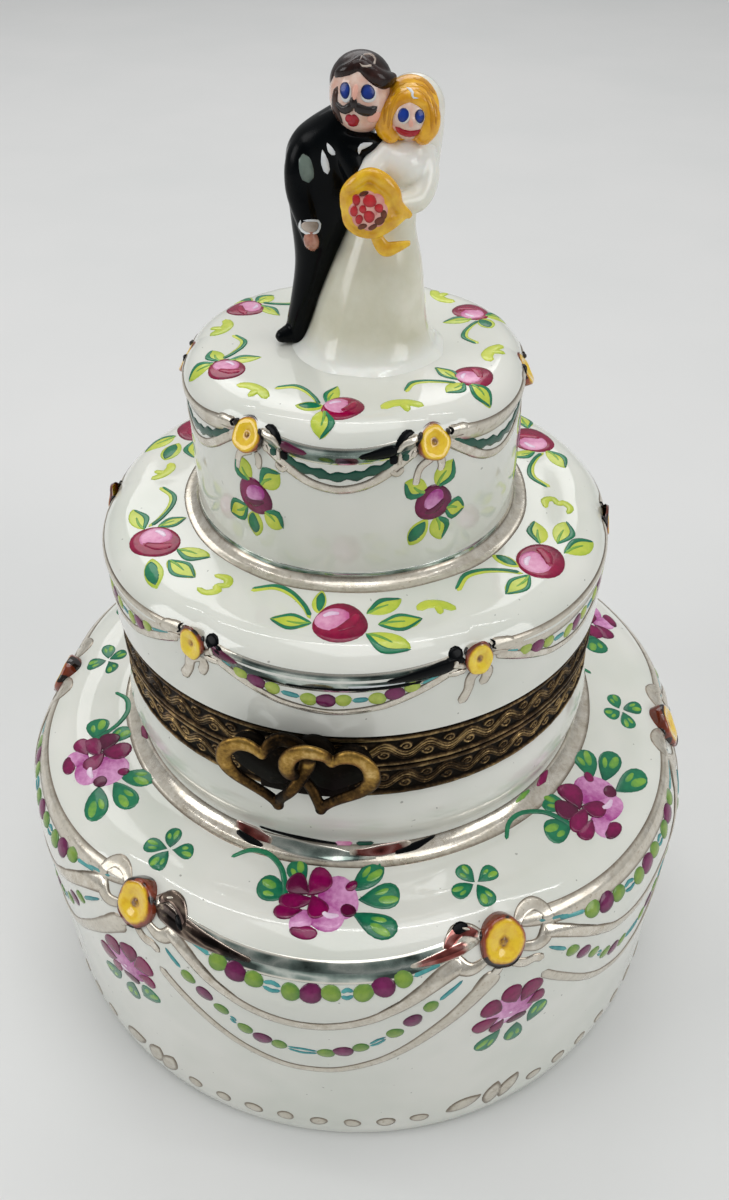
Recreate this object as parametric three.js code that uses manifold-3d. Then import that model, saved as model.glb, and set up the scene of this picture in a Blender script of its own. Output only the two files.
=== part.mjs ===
// A hinged porcelain trinket box in the form of a three tier wedding cake with a bride and groom on top.
// The base tier and a short neck are one hollow casting. The middle and top tiers are the lid, also hollow.
// A brass band is crimped round each mouth; the two bands carry a five knuckle hinge at the back and a
// snap clasp of two linked hearts at the front. Millimetres, +Z up, the clasp faces -Y.
import * as THREE from "three";
import { mergeVertices } from "three/addons/utils/BufferGeometryUtils.js";
import Module from "manifold-3d";

const wasm = await Module();
wasm.setup();

// Base tier
const baseRadius = 31.45;
const baseTop = 27.6;
const baseShoulder = 5.6;
const baseDome = 0.6;
const baseWall = 2.6;
const footInset = 1.1;
const footHeight = 0.8;
const footWidth = 2.4;

// Neck under the mouth of the box, set in from the wall of the tier above it
const neckInset = 0.7;
const neckHeight = 7.1;
const neckFillet = 1.5;
const neckBulge = 0.5;
const neckWall = 2.4;

// Lid: middle tier and top tier
const midRadius = 20.8;
const midHeight = 8.0;
const midShoulder = 2.8;
const midDome = 0.2;
const topRadius = 12.85;
const topHeight = 12.6;
const topShoulder = 2.3;
const topFillet = 0.9;
const lidWall = 2.3;

// The icing drape: a raised layer on each tier with a scalloped lower edge, six swags a tier
const swags = 6;
const drapeRelief = 0.3;
const drapeLip = 0.7;
const basePinch = 0.7;
const midPinch = 0.45;
const topPinch = 0.3;
const pinchRun = 5.0;
const pinchRunShare = 0.7;
const basePhase = THREE.MathUtils.degToRad(3.5);
const lidPhase = THREE.MathUtils.degToRad(5.9);
const baseEdgeLow = 4.4;
const baseEdgeHigh = 5.5;
const midEdgeLow = 0.8;
const midEdgeHigh = 1.4;
const topEdgeLow = 0.4;
const topEdgeHigh = 1.3;

// Rosettes pressed on where the swags meet
const baseRosetteRadius = 2.05;
const midRosetteRadius = 1.3;
const topRosetteRadius = 1.05;
const rosetteHeightShare = 0.5;
const baseRosetteUp = 4.2;
const midRosetteUp = 1.05;
const topRosetteUp = 0.5;

// Brass bands round the two mouths
const bandHeight = 3.1;
const bandThickness = 0.45;
const bandProud = 0.15;
const flangeThickness = 0.4;
const ribRelief = 0.15;
const ribHeight = 0.45;
const splitGap = 0.12;
const seatGap = 0.1;

// Hinge at the back
const knuckleCount = 5;
const knuckleLength = 2.3;
const knuckleRadius = 1.15;
const knuckleGap = 0.1;
const leafHeight = 2.6;
const leafThickness = 0.55;
const pinRadius = 0.45;
const pinClearance = 0.06;
const pinHeadRadius = 0.75;
const pinHeadLength = 0.5;

// Clasp at the front
const tongueWidth = 6.6;
const tongueThickness = 0.4;
const tongueDrop = 2.2;
const tongueRise = 2.4;
const ridgeLength = 3.0;
const ridgeHeight = 0.5;
const ridgeRelief = 0.3;
const runningGap = 0.1;
const heartWidth = 7.2;
const heartHeight = 7.6;
const heartBar = 1.05;
const heartThickness = 0.6;
const heartWeave = 0.5;
const weaveRise = 1.1;
const weaveRun = 0.35;
const heartSpread = 2.35;
const heartLean = THREE.MathUtils.degToRad(11);
const heartDrop = 2.7;

// Bride and groom, measured in their own frame from the middle of the top tier
const figureTurn = THREE.MathUtils.degToRad(10.8);
const figureGap = 0.1;
const gownHeight = 13.9;
const gownHemRadius = 4.9;
const suitHeight = 15.6;
const suitWidth = 5.2;
const headHeight = 4.5;
const groomHeadRise = 16.3;
const brideHeadRise = 15.1;
const brideHeadShare = 0.76;
const veilHeight = 8.6;
const bouquetRadius = 2.05;
const bouquetRise = 10.9;

// What the sizes above give
const turns = 42;
const fullTurn = 2 * Math.PI;
const overrun = 1.0;
const neckRadius = midRadius - neckInset;
const neckFoot = baseTop + baseDome;
const baseBandBottom = neckFoot + neckHeight;
const baseBandTop = baseBandBottom + bandHeight;
const splitHeight = baseBandTop + splitGap / 2;
const lidBandBottom = baseBandTop + splitGap;
const lidBandTop = lidBandBottom + bandHeight;
const bandRadius = neckRadius + bandProud;
const seatRadius = bandRadius - bandThickness - seatGap;
const mouthRadius = neckRadius - neckWall;
const midTop = lidBandTop + midHeight;
const topFoot = midTop + midDome;
const topTop = topFoot + topHeight;
const swagAngle = fullTurn / swags;

// Colours and finishes
const porcelain = { color: 0xf1f1ec, roughness: 0.12, metalness: 0 };
const brass = { color: 0x7d6237, roughness: 0.42, metalness: 1 };
const yellowGlaze = { color: 0xe2b01e, roughness: 0.15, metalness: 0 };
const blackGlaze = { color: 0x0b0e10, roughness: 0.12, metalness: 0 };
const ivoryGlaze = { color: 0xe9e7d8, roughness: 0.15, metalness: 0 };
const skinGlaze = { color: 0xe8c9b8, roughness: 0.18, metalness: 0 };

const parts = new THREE.Group();

function addPart(parent, name, geometry, finish) {
  const mesh = new THREE.Mesh(geometry, new THREE.MeshStandardMaterial(finish));
  mesh.name = name;
  parent.add(mesh);
  return mesh;
}

// A closed solid for cutting and joining, from any closed three.js geometry.
function solidOf(geometry) {
  const bare = geometry.clone();
  bare.deleteAttribute("normal");
  bare.deleteAttribute("uv");
  const merged = mergeVertices(bare, 1e-4);
  return new wasm.Manifold(
    new wasm.Mesh({
      numProp: 3,
      vertProperties: merged.attributes.position.array,
      triVerts: new Uint32Array(merged.index.array),
    }),
  );
}

function geometryOf(solid) {
  const mesh = solid.getMesh();
  const geometry = new THREE.BufferGeometry();
  geometry.setAttribute("position", new THREE.BufferAttribute(mesh.vertProperties, 3));
  geometry.setIndex(new THREE.BufferAttribute(mesh.triVerts, 1));
  geometry.computeVertexNormals();
  return geometry;
}

// A skin over a grid of points: rows[i][j], every row closed on itself.
// The first and last rows either shut with a fan to their middles or join each other.
function skinOf(rows, joined) {
  const sides = rows[0].length;
  const points = rows.flat();
  const index = [];
  const last = joined ? rows.length : rows.length - 1;
  for (let i = 0; i < last; i++) {
    const here = i * sides;
    const next = ((i + 1) % rows.length) * sides;
    for (let j = 0; j < sides; j++) {
      const beside = (j + 1) % sides;
      index.push(here + j, here + beside, next + beside, here + j, next + beside, next + j);
    }
  }
  if (!joined) {
    for (const [row, forward] of [[0, false], [rows.length - 1, true]]) {
      const middle = rows[row].reduce((sum, p) => sum.add(p), new THREE.Vector3()).divideScalar(sides);
      const tip = points.push(middle) - 1;
      for (let j = 0; j < sides; j++) {
        const a = row * sides + j;
        const b = row * sides + ((j + 1) % sides);
        index.push(...(forward ? [a, b, tip] : [b, a, tip]));
      }
    }
  }
  const geometry = new THREE.BufferGeometry().setFromPoints(points);
  geometry.setIndex(index);
  return geometry;
}

function aroundAxis(radius, height, angle) {
  return new THREE.Vector3(radius * Math.sin(angle), -radius * Math.cos(angle), height);
}

// A turned body whose outline may change with the angle. The outline runs anticlockwise, seen with the
// axis on the left. It closes on itself, or starts and ends beside the axis, where the skin is shut.
function turned(outlineAt, closes) {
  const count = outlineAt(0).length;
  const rows = [];
  for (let j = 0; j < count; j++) {
    const row = [];
    for (let i = 0; i < turns; i++) {
      const angle = (fullTurn * i) / turns;
      const [radius, height] = outlineAt(angle)[j];
      row.push(aroundAxis(radius, height, angle));
    }
    rows.push(row);
  }
  return skinOf(rows, closes);
}

// How far an angle lies from the middle of its swag: 0 in the middle, 1 at a rosette.
function swagShare(angle, phase) {
  const turnsFromPhase = (angle - phase) / swagAngle;
  return 2 * Math.abs(turnsFromPhase - Math.round(turnsFromPhase));
}

// A point on a tier's skin: a length up from where its shoulder starts, sunk below the drape's face.
// The skin is drawn in towards the rosettes, where the swag share is 1.
function skinPoint(tier, share, up, sink) {
  const turn = Math.max(0, up / tier.shoulder);
  const below = Math.min(0, up);
  const round = tier.shoulder - sink;
  const pinch = tier.pinch * share ** 3;
  return [
    tier.radius - pinch - tier.shoulder + round * Math.cos(turn),
    tier.top - tier.shoulder + below + round * Math.sin(turn),
  ];
}

// A tier from the foot of its wall, over the scalloped edge of the drape and the shoulder,
// to the small cove where the next wall stands on it. Bare shares say where the bare shoulder bends,
// as shares of the way up it to the drape.
function tierOutline(tier, angle) {
  const shoulderSteps = 4;
  const coveSteps = 2;
  const quarter = Math.PI / 2;
  const share = swagShare(angle, tier.phase);
  const edge = tier.edgeLow + (tier.edgeHigh - tier.edgeLow) * share ** 2;
  const low = edge - drapeLip;
  const outline = [[tier.footRadius, tier.foot]];
  if (tier.pinchRun) outline.push(skinPoint(tier, 0, Math.min(low, 0) - tier.pinchRun, drapeRelief));
  for (const way of tier.bareShares) outline.push(skinPoint(tier, share, low * way, drapeRelief));
  outline.push(skinPoint(tier, share, low, drapeRelief));
  outline.push(skinPoint(tier, share, edge - drapeLip / 2, drapeRelief / 4));
  const arc = tier.shoulder * quarter;
  for (let i = 0; i <= shoulderSteps; i++) {
    outline.push(skinPoint(tier, share, edge + ((arc - edge) * i) / shoulderSteps, 0));
  }
  if (tier.cove) {
    for (let i = 0; i <= coveSteps; i++) {
      const turn = (quarter * i) / coveSteps;
      outline.push([
        tier.inner + tier.cove * (1 - Math.sin(turn)),
        tier.top + tier.dome + tier.cove * (1 - Math.cos(turn)),
      ]);
    }
  }
  return outline;
}

const baseTier = {
  radius: baseRadius, top: baseTop, shoulder: baseShoulder, dome: baseDome, phase: basePhase, pinch: basePinch,
  foot: footHeight, footRadius: baseRadius - drapeRelief - footInset / 4,
  inner: neckRadius, cove: neckFillet, edgeLow: baseEdgeLow, edgeHigh: baseEdgeHigh,
  pinchRun, bareShares: [0, 0.5],
};
const midTier = {
  radius: midRadius, top: midTop, shoulder: midShoulder, dome: midDome, phase: lidPhase, pinch: midPinch,
  foot: lidBandTop + seatGap, footRadius: neckRadius,
  inner: topRadius - drapeRelief, cove: topFillet, edgeLow: midEdgeLow, edgeHigh: midEdgeHigh,
  pinchRun: pinchRun * pinchRunShare, bareShares: [],
};
const topTier = {
  radius: topRadius, top: topTop, shoulder: topShoulder, dome: 0, phase: lidPhase, pinch: topPinch,
  foot: topFoot + topFillet + drapeRelief, footRadius: topRadius - drapeRelief,
  edgeLow: topEdgeLow, edgeHigh: topEdgeHigh, pinchRun: 0, bareShares: [],
};

// Base casting: foot ring, wall, drape, neck and the seat that the lower band is crimped on.
const innerBaseRadius = baseRadius - drapeRelief - baseWall;
const baseRim = baseBandTop - flangeThickness - seatGap;
const bulgeFoot = neckFoot + neckFillet;
const bulgeHeight = neckHeight - neckFillet - seatGap;
const neckShares = [[0.2, 0.75], [0.6, 0.9]];
function baseOutline(angle) {
  const axis = seatGap / 10;
  const footRadius = baseRadius - drapeRelief - footInset;
  return [
    [axis, footHeight],
    [footRadius - footWidth - footHeight, footHeight],
    [footRadius - footWidth, 0],
    [footRadius, 0],
    ...tierOutline(baseTier, angle),
    ...neckShares.map(([rise, out]) => [neckRadius + out * neckBulge, bulgeFoot + rise * bulgeHeight]),
    [neckRadius, baseBandBottom - seatGap],
    [seatRadius, baseBandBottom - seatGap],
    [seatRadius, baseRim],
    [mouthRadius, baseRim],
    [mouthRadius, neckFoot],
    [mouthRadius + baseWall / 2, neckFoot - baseWall],
    [innerBaseRadius - baseShoulder, baseTop - baseWall],
    [innerBaseRadius, baseTop - baseShoulder - baseWall / 2],
    [innerBaseRadius, footHeight + 2 * baseWall],
    [innerBaseRadius - baseWall, footHeight + baseWall],
    [axis, footHeight + baseWall],
  ];
}
addPart(parts, "base_shell", turned(baseOutline, false), porcelain);

// Lid casting: the two upper tiers, open underneath, with the seat for the upper band.
const lidRim = lidBandBottom + flangeThickness + seatGap;
const innerMidRadius = midRadius - drapeRelief - lidWall;
const innerTopRadius = topRadius - drapeRelief - lidWall;
function lidOutline(angle) {
  const axis = seatGap / 10;
  return [
    [axis, topTop - lidWall],
    [innerTopRadius - topShoulder, topTop - lidWall],
    [innerTopRadius, topTop - lidWall - topShoulder],
    [innerTopRadius, midTop - lidWall / 2],
    [innerTopRadius + lidWall / 2, midTop - lidWall],
    [innerMidRadius - midShoulder, midTop - lidWall],
    [innerMidRadius, midTop - lidWall - midShoulder],
    [mouthRadius, lidBandTop],
    [mouthRadius, lidRim],
    [seatRadius, lidRim],
    [seatRadius, lidBandTop + seatGap],
    ...tierOutline(midTier, angle),
    ...tierOutline(topTier, angle),
    [axis, topTop],
  ];
}
addPart(parts, "lid_shell", turned(lidOutline, false), porcelain);

// A brass band: a thin wall with a rolled rib along each edge and a flange folded over the porcelain rim.
// up is 1 for the lower band, whose flange is at its top, and -1 for the upper one.
function bandOutline(split, up) {
  const at = (rise) => split + up * (rise - bandHeight);
  const inner = bandRadius - bandThickness;
  const rib = bandRadius + ribRelief;
  const outline = [
    [inner, at(0)],
    [rib, at(0)],
    [rib, at(ribHeight)],
    [bandRadius, at(ribHeight)],
    [bandRadius, at(bandHeight - ribHeight)],
    [rib, at(bandHeight - ribHeight)],
    [rib, at(bandHeight)],
    [mouthRadius, at(bandHeight)],
    [mouthRadius, at(bandHeight - flangeThickness)],
    [inner, at(bandHeight - flangeThickness)],
  ];
  return up > 0 ? outline : outline.reverse();
}
addPart(parts, "base_band", turned(() => bandOutline(baseBandTop, 1), true), brass);
addPart(parts, "lid_band", turned(() => bandOutline(lidBandBottom, -1), true), brass);

// Hinge: short tubes on one pin, each with a leaf soldered to the band that it belongs to.
const ribRadius = bandRadius + ribRelief;
const hingeY = ribRadius + runningGap + knuckleRadius;
const knuckleSides = 14;

function bar(radius, length, sides) {
  return new THREE.CylinderGeometry(radius, radius, length, sides).rotateZ(Math.PI / 2);
}

const bandCutter = solidOf(
  new THREE.CylinderGeometry(ribRadius + seatGap, ribRadius + seatGap, 2 * (bandHeight + overrun), turns)
    .rotateX(Math.PI / 2)
    .translate(0, 0, splitHeight),
);

function knuckle(index, side) {
  const middle = (index - (knuckleCount - 1) / 2) * (knuckleLength + knuckleGap);
  const depth = leafThickness + knuckleCount * knuckleLength / 4;
  const leafBack = ribRadius + seatGap + leafThickness;
  const leaf = solidOf(
    new THREE.BoxGeometry(knuckleLength, depth, leafHeight)
      .translate(middle, leafBack - depth / 2, splitHeight + side * (splitGap / 2 + leafHeight / 2)),
  );
  const tube = solidOf(bar(knuckleRadius, knuckleLength, knuckleSides).translate(middle, hingeY, splitHeight));
  const boreRadius = pinRadius + pinClearance;
  const bore = solidOf(
    bar(boreRadius, knuckleLength + 2 * overrun, knuckleSides).translate(middle, hingeY, splitHeight),
  );
  return geometryOf(tube.add(leaf.subtract(bandCutter)).subtract(bore));
}

for (let i = 0; i < knuckleCount; i++) {
  const onBase = i % 2 === 0;
  const name = (onBase ? "base_knuckle_" : "lid_knuckle_") + (Math.floor(i / 2) + 1);
  addPart(parts, name, knuckle(i, onBase ? -1 : 1), brass);
}

const barrelLength = knuckleCount * knuckleLength + (knuckleCount - 1) * knuckleGap;
const pinOutline = [
  [0, 0],
  [pinHeadRadius * 0.7, 0],
  [pinHeadRadius, pinHeadLength / 2],
  [pinHeadRadius, pinHeadLength],
  [pinRadius, pinHeadLength],
].map(([radius, along]) => [radius, along - pinHeadLength - knuckleGap - barrelLength / 2]);
const pinHalf = pinOutline.map(([radius, along]) => new THREE.Vector2(radius, along));
const pinOtherHalf = [...pinHalf].reverse().map((p) => new THREE.Vector2(p.x, -p.y));
addPart(
  parts,
  "hinge_pin",
  new THREE.LatheGeometry([...pinHalf, ...pinOtherHalf], knuckleSides)
    .rotateZ(Math.PI / 2)
    .translate(0, hingeY, splitHeight),
  brass,
);

// Clasp: a springy tongue soldered to the upper band laps over a ridge on the lower one.
function curvedPlate(inner, thickness, width, low, high, steps) {
  const half = Math.asin(width / 2 / inner);
  const shape = new THREE.Shape();
  for (let i = 0; i <= steps; i++) {
    const turn = -half + (2 * half * i) / steps;
    shape[i ? "lineTo" : "moveTo"](inner * Math.sin(turn), -inner * Math.cos(turn));
  }
  for (let i = steps; i >= 0; i--) {
    const turn = -half + (2 * half * i) / steps;
    const outer = inner + thickness;
    shape.lineTo(outer * Math.sin(turn), -outer * Math.cos(turn));
  }
  return new THREE.ExtrudeGeometry(shape, { depth: high - low, bevelEnabled: false }).translate(0, 0, low);
}

const plateSteps = 6;
const ridgeInner = ribRadius + seatGap;
const tongueInner = ridgeInner + ridgeRelief + runningGap;
const ridgeMiddle = baseBandTop - bandHeight / 2;
addPart(
  parts,
  "catch_ridge",
  curvedPlate(
    ridgeInner, ridgeRelief, ridgeLength, ridgeMiddle - ridgeHeight / 2, ridgeMiddle + ridgeHeight / 2, plateSteps,
  ),
  brass,
);
addPart(
  parts,
  "clasp_tongue",
  curvedPlate(
    tongueInner, tongueThickness, tongueWidth, splitHeight - tongueDrop, splitHeight + tongueRise, plateSteps,
  ),
  brass,
);

// The heart's outline rises and falls as a sum of cosines, each a share of its height.
const heartRiseShares = [0.09, 0.448, -0.172, -0.069, -0.035];

// One open heart: a flat bar bent round the outline of a heart, which dips behind its partner on one
// side and passes in front of it on the other. side is -1 for the left heart and 1 for the right one.
function heartLoop(side) {
  const steps = 60;
  const barShares = [[-0.5, -0.2], [0, -0.5], [0.5, -0.2], [0.4, 0.5], [-0.4, 0.5]];
  const curve = (share) => {
    const t = fullTurn * share;
    const across = ((heartWidth - heartBar) / 2) * Math.sin(t) ** 3;
    const rise = heartRiseShares.reduce((sum, part, k) => sum + part * Math.cos(k * t), 0);
    const up = (heartHeight - heartBar) * rise;
    return new THREE.Vector2(across, up);
  };
  const rows = [];
  for (let i = 0; i < steps; i++) {
    const share = (i + 0.5) / steps;
    const here = curve(share);
    const along = curve(share + 0.004).sub(curve(share - 0.004)).normalize();
    const normal = new THREE.Vector2(along.y, -along.x);
    const nearPartner = THREE.MathUtils.smoothstep(-side * here.x, 0, heartWidth / 5);
    const upright = THREE.MathUtils.clamp((here.y - weaveRise) / weaveRun, -1, 1);
    const lift = heartWeave * nearPartner * side * upright;
    rows.push(
      barShares.map(([wide, deep]) => {
        const p = here.clone().addScaledVector(normal, wide * heartBar);
        return new THREE.Vector3(p.x, deep * heartThickness - lift, p.y);
      }),
    );
  }
  return skinOf(rows, true);
}

const heartRadius = tongueInner + tongueThickness + seatGap + heartThickness / 2 + heartWeave;
for (const [name, side] of [["left_heart", -1], ["right_heart", 1]]) {
  const holder = new THREE.Group();
  const heart = addPart(holder, name, heartLoop(side), brass);
  heart.rotation.y = side * heartLean;
  holder.position.set(side * heartSpread, -heartRadius, lidBandTop - heartDrop);
  parts.add(holder);
}

// A solid that fills a tier up to just above its skin, for seating the rosettes.
function tierFill(tier) {
  const steps = 4;
  const axis = seatGap / 10;
  return solidOf(
    turned((angle) => {
      const share = swagShare(angle, tier.phase);
      const outline = [[axis, tier.top - 2 * tier.shoulder]];
      outline.push(skinPoint(tier, share, -tier.shoulder, -seatGap));
      for (let i = 0; i <= steps; i++) {
        outline.push(skinPoint(tier, share, (i * tier.shoulder * Math.PI) / 2 / steps, -seatGap));
      }
      outline.push([axis, tier.top + seatGap]);
      return outline;
    }, false),
  );
}

// Rosettes: small domed flowers, each seated on the face of the drape where two swags meet.
const rosetteShares = [[1, 0.2], [0.85, 0.55], [0.55, 0.85], [0.25, 1.0]];
function rosette(tier, fill, radius, up, angle) {
  const sides = 9;
  const height = radius * rosetteHeightShare;
  const seat = skinPoint(tier, 1, up, -seatGap);
  const outward = new THREE.Vector3(0, -Math.cos(up / tier.shoulder), Math.sin(up / tier.shoulder));
  const profile = [
    [0, -drapeRelief],
    [radius, -drapeRelief],
    ...rosetteShares.map(([wide, high]) => [wide * radius, high * height]),
    [0, height],
  ].map(([wide, high]) => new THREE.Vector2(wide, high));
  const dome = new THREE.LatheGeometry(profile, sides)
    .applyQuaternion(new THREE.Quaternion().setFromUnitVectors(new THREE.Vector3(0, 1, 0), outward))
    .translate(0, -seat[0], seat[1])
    .rotateZ(angle);
  return geometryOf(solidOf(dome).subtract(fill));
}

const rosetteRows = [
  ["base", baseTier, baseRosetteRadius, baseRosetteUp],
  ["mid", midTier, midRosetteRadius, midRosetteUp],
  ["top", topTier, topRosetteRadius, topRosetteUp],
];
for (const [row, tier, radius, up] of rosetteRows) {
  const fill = tierFill(tier);
  for (let i = 0; i < swags; i++) {
    const angle = tier.phase + swagAngle * (i + 0.5);
    addPart(parts, row + "_rosette_" + (i + 1), rosette(tier, fill, radius, up, angle), yellowGlaze);
  }
}

// Bride and groom: each piece a stack of ellipses, cut clear of the pieces that it leans on.
const couple = new THREE.Group();
couple.rotation.z = figureTurn;
couple.position.z = topTop + figureGap;
parts.add(couple);

// Stations are [across, back, up, half width, half depth], lengthened by their scales and grown outward.
function stack(stations, sides, grow) {
  const rows = stations.map(([across, back, up, wide, deep], i) => {
    const end = i === 0 ? -grow : i === stations.length - 1 ? grow : 0;
    const row = [];
    for (let j = 0; j < sides; j++) {
      const turn = (fullTurn * j) / sides;
      row.push(
        new THREE.Vector3(
          across + (wide + grow) * Math.sin(turn),
          back - (deep + grow) * Math.cos(turn),
          up + end,
        ),
      );
    }
    return row;
  });
  return solidOf(skinOf(rows, false));
}

function scaled(shares, width, height) {
  return shares.map(([across, back, up, wide, deep]) => [
    across * width, back * width, up * height, wide * width, deep * width,
  ]);
}

function ball(across, back, up, wide, deep, high, grow) {
  const sides = 14;
  const levels = 8;
  return solidOf(
    new THREE.SphereGeometry(1, sides, levels)
      .rotateX(Math.PI / 2)
      .scale(wide + grow, deep + grow, high + grow)
      .translate(across, back, up),
  );
}

// A limb swept through round stations [across, back, up, radius], each a share of one length.
function limb(shares, length, grow) {
  const sides = 8;
  const levels = 6;
  const balls = shares.map(([across, back, up, radius]) =>
    solidOf(
      new THREE.SphereGeometry(radius * length + grow, sides, levels)
        .rotateX(Math.PI / 2)
        .translate(across * length, back * length, up * length),
    ),
  );
  let whole = null;
  for (let i = 1; i < balls.length; i++) {
    const piece = wasm.Manifold.hull([balls[i - 1], balls[i]]);
    whole = whole ? whole.add(piece) : piece;
  }
  return whole;
}

const gownShares = [
  [0.2, -0.12, 0.0, 1.0, 0.95], [0.21, -0.12, 0.05, 0.92, 0.88], [0.24, -0.12, 0.2, 0.8, 0.74],
  [0.35, -0.12, 0.45, 0.61, 0.56], [0.41, -0.12, 0.62, 0.44, 0.42], [0.52, -0.12, 0.74, 0.41, 0.36],
  [0.6, -0.12, 0.86, 0.47, 0.36], [0.68, -0.14, 0.95, 0.38, 0.33], [0.72, -0.16, 1.0, 0.24, 0.24],
];
const sleeveShares = [
  [0.93, -0.12, 2.6, 0.2], [0.96, -0.36, 2.36, 0.19], [0.84, -0.58, 2.2, 0.15], [0.56, -0.68, 2.24, 0.11],
];
function gown(grow) {
  const body = stack(scaled(gownShares, gownHemRadius, gownHeight), 16, grow);
  return body.add(limb(sleeveShares, gownHemRadius, grow));
}

const suitShares = [
  [-0.8, 0.02, 0.0, 0.15, 0.2], [-0.76, 0.02, 0.1, 0.17, 0.22], [-0.68, 0.02, 0.19, 0.19, 0.25],
  [-0.52, 0.02, 0.37, 0.26, 0.29], [-0.41, 0.0, 0.56, 0.41, 0.34], [-0.35, 0.0, 0.69, 0.49, 0.36],
  [-0.3, -0.02, 0.81, 0.53, 0.37], [-0.23, -0.03, 0.89, 0.5, 0.35], [-0.14, -0.05, 0.95, 0.39, 0.3],
  [-0.02, -0.08, 1.0, 0.24, 0.24],
];
const shoeShares = [[-0.98, -0.16, 0.09, 0.09], [-0.82, -0.02, 0.13, 0.12]];
const armShares = [[-0.6, -0.12, 2.55, 0.22], [-0.66, -0.2, 2.05, 0.2], [-0.56, -0.3, 1.62, 0.14], [-0.54, -0.33, 1.46, 0.12]];
function suit(grow) {
  const body = stack(scaled(suitShares, suitWidth, suitHeight), 16, grow);
  const shoe = limb(shoeShares, suitWidth, grow);
  return body.add(shoe).add(limb(armShares, suitWidth, grow));
}

function groomHead(grow) {
  const half = headHeight / 2;
  const face = ball(0.11 * headHeight, -0.2 * headHeight, groomHeadRise, 0.86 * half, 0.86 * half, half, grow);
  const hair = ball(
    0.16 * headHeight, -0.1 * headHeight, groomHeadRise + 0.12 * half, 0.92 * half, 0.88 * half, 0.94 * half, grow,
  );
  return face.add(hair);
}

function brideHead(grow) {
  const half = (headHeight / 2) * brideHeadShare;
  const across = 0.79 * headHeight;
  const face = ball(across, -0.34 * headHeight, brideHeadRise - 0.1 * half, 0.86 * half, 0.9 * half, half, grow);
  const hair = ball(
    across + 0.04 * half, -0.26 * headHeight, brideHeadRise + 0.1 * half, 1.18 * half, 1.08 * half, 1.18 * half, grow,
  );
  return face.add(hair);
}

const veilShares = [
  [0.5, 0.1, 0.0, 0.12, 0.1], [0.47, 0.08, 0.3, 0.18, 0.15], [0.45, 0.04, 0.62, 0.23, 0.2],
  [0.42, 0.0, 0.85, 0.23, 0.2], [0.4, -0.02, 1.0, 0.13, 0.12],
];
function veil(grow) {
  const rise = brideHeadRise + headHeight / 2 - veilHeight;
  const stations = scaled(veilShares, veilHeight, veilHeight);
  return stack(stations.map(([a, b, up, w, d]) => [a, b, up + rise, w, d]), 14, grow);
}

const ribbonShares = [[0.9, -1.85, -0.85, 0.22], [1.2, -1.9, -1.35, 0.24], [1.8, -1.85, -1.5, 0.16]];
function bouquet(grow) {
  const across = 0.6 * bouquetRadius;
  const back = -2.0 * bouquetRadius;
  const collar = ball(across, back, bouquetRise, bouquetRadius, 0.5 * bouquetRadius, bouquetRadius, grow);
  const posy = ball(
    across - 0.05 * bouquetRadius, back - 0.34 * bouquetRadius, bouquetRise, 0.6 * bouquetRadius,
    0.42 * bouquetRadius, 0.6 * bouquetRadius, grow,
  );
  const ribbon = limb(ribbonShares, bouquetRadius, grow).translate(0, 0, bouquetRise);
  return collar.add(posy).add(ribbon);
}

const gap = figureGap;
addPart(couple, "bride_gown", geometryOf(gown(0)), ivoryGlaze);
addPart(couple, "groom_suit", geometryOf(suit(0).subtract(gown(gap))), blackGlaze);
addPart(couple, "bride_head", geometryOf(brideHead(0).subtract(gown(gap)).subtract(suit(gap))), skinGlaze);
addPart(
  couple,
  "groom_head",
  geometryOf(groomHead(0).subtract(suit(gap)).subtract(gown(gap)).subtract(brideHead(gap))),
  skinGlaze,
);
addPart(
  couple,
  "bride_veil",
  geometryOf(
    veil(0).subtract(gown(gap)).subtract(suit(gap)).subtract(brideHead(gap)).subtract(groomHead(gap)),
  ),
  ivoryGlaze,
);
addPart(couple, "bouquet", geometryOf(bouquet(0).subtract(gown(gap)).subtract(suit(gap))), yellowGlaze);

export default parts;
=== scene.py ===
"""Dresses a hinged porcelain trinket box, a three tier wedding cake with a bride and groom on top.

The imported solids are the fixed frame. Smooth porcelain with its moulded drapes, the painted flowers,
the lustre lines, the chased brass and the glazed couple are built round them in millimetres, and each
piece rides with the base or with the lid.
"""

import logging
import random
from dataclasses import dataclass
from enum import Enum
from functools import cached_property
from math import atan2, cos, degrees, hypot, pi, radians, sin, sqrt, tan
from typing import Callable, Iterable, Optional, Protocol, Sequence, Union

import bpy
import numpy as np
from mathutils import Euler, Matrix, Vector
from mathutils.bvhtree import BVHTree

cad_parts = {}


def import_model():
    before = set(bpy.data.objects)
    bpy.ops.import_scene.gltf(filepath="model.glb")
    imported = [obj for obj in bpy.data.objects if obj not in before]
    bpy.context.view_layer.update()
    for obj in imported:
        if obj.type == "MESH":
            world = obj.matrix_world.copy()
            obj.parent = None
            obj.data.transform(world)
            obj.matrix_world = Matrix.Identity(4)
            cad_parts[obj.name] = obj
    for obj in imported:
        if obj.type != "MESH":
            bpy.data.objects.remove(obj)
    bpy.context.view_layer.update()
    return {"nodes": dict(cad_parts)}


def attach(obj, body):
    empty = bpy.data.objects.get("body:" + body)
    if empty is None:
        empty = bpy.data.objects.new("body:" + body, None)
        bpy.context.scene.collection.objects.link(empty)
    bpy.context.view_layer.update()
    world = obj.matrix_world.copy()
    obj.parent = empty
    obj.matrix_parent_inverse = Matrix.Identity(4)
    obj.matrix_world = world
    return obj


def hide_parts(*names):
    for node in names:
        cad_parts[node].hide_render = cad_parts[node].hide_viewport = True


logging.basicConfig(level=logging.INFO, format="%(message)s")
log = logging.getLogger("cake_box")

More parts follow.
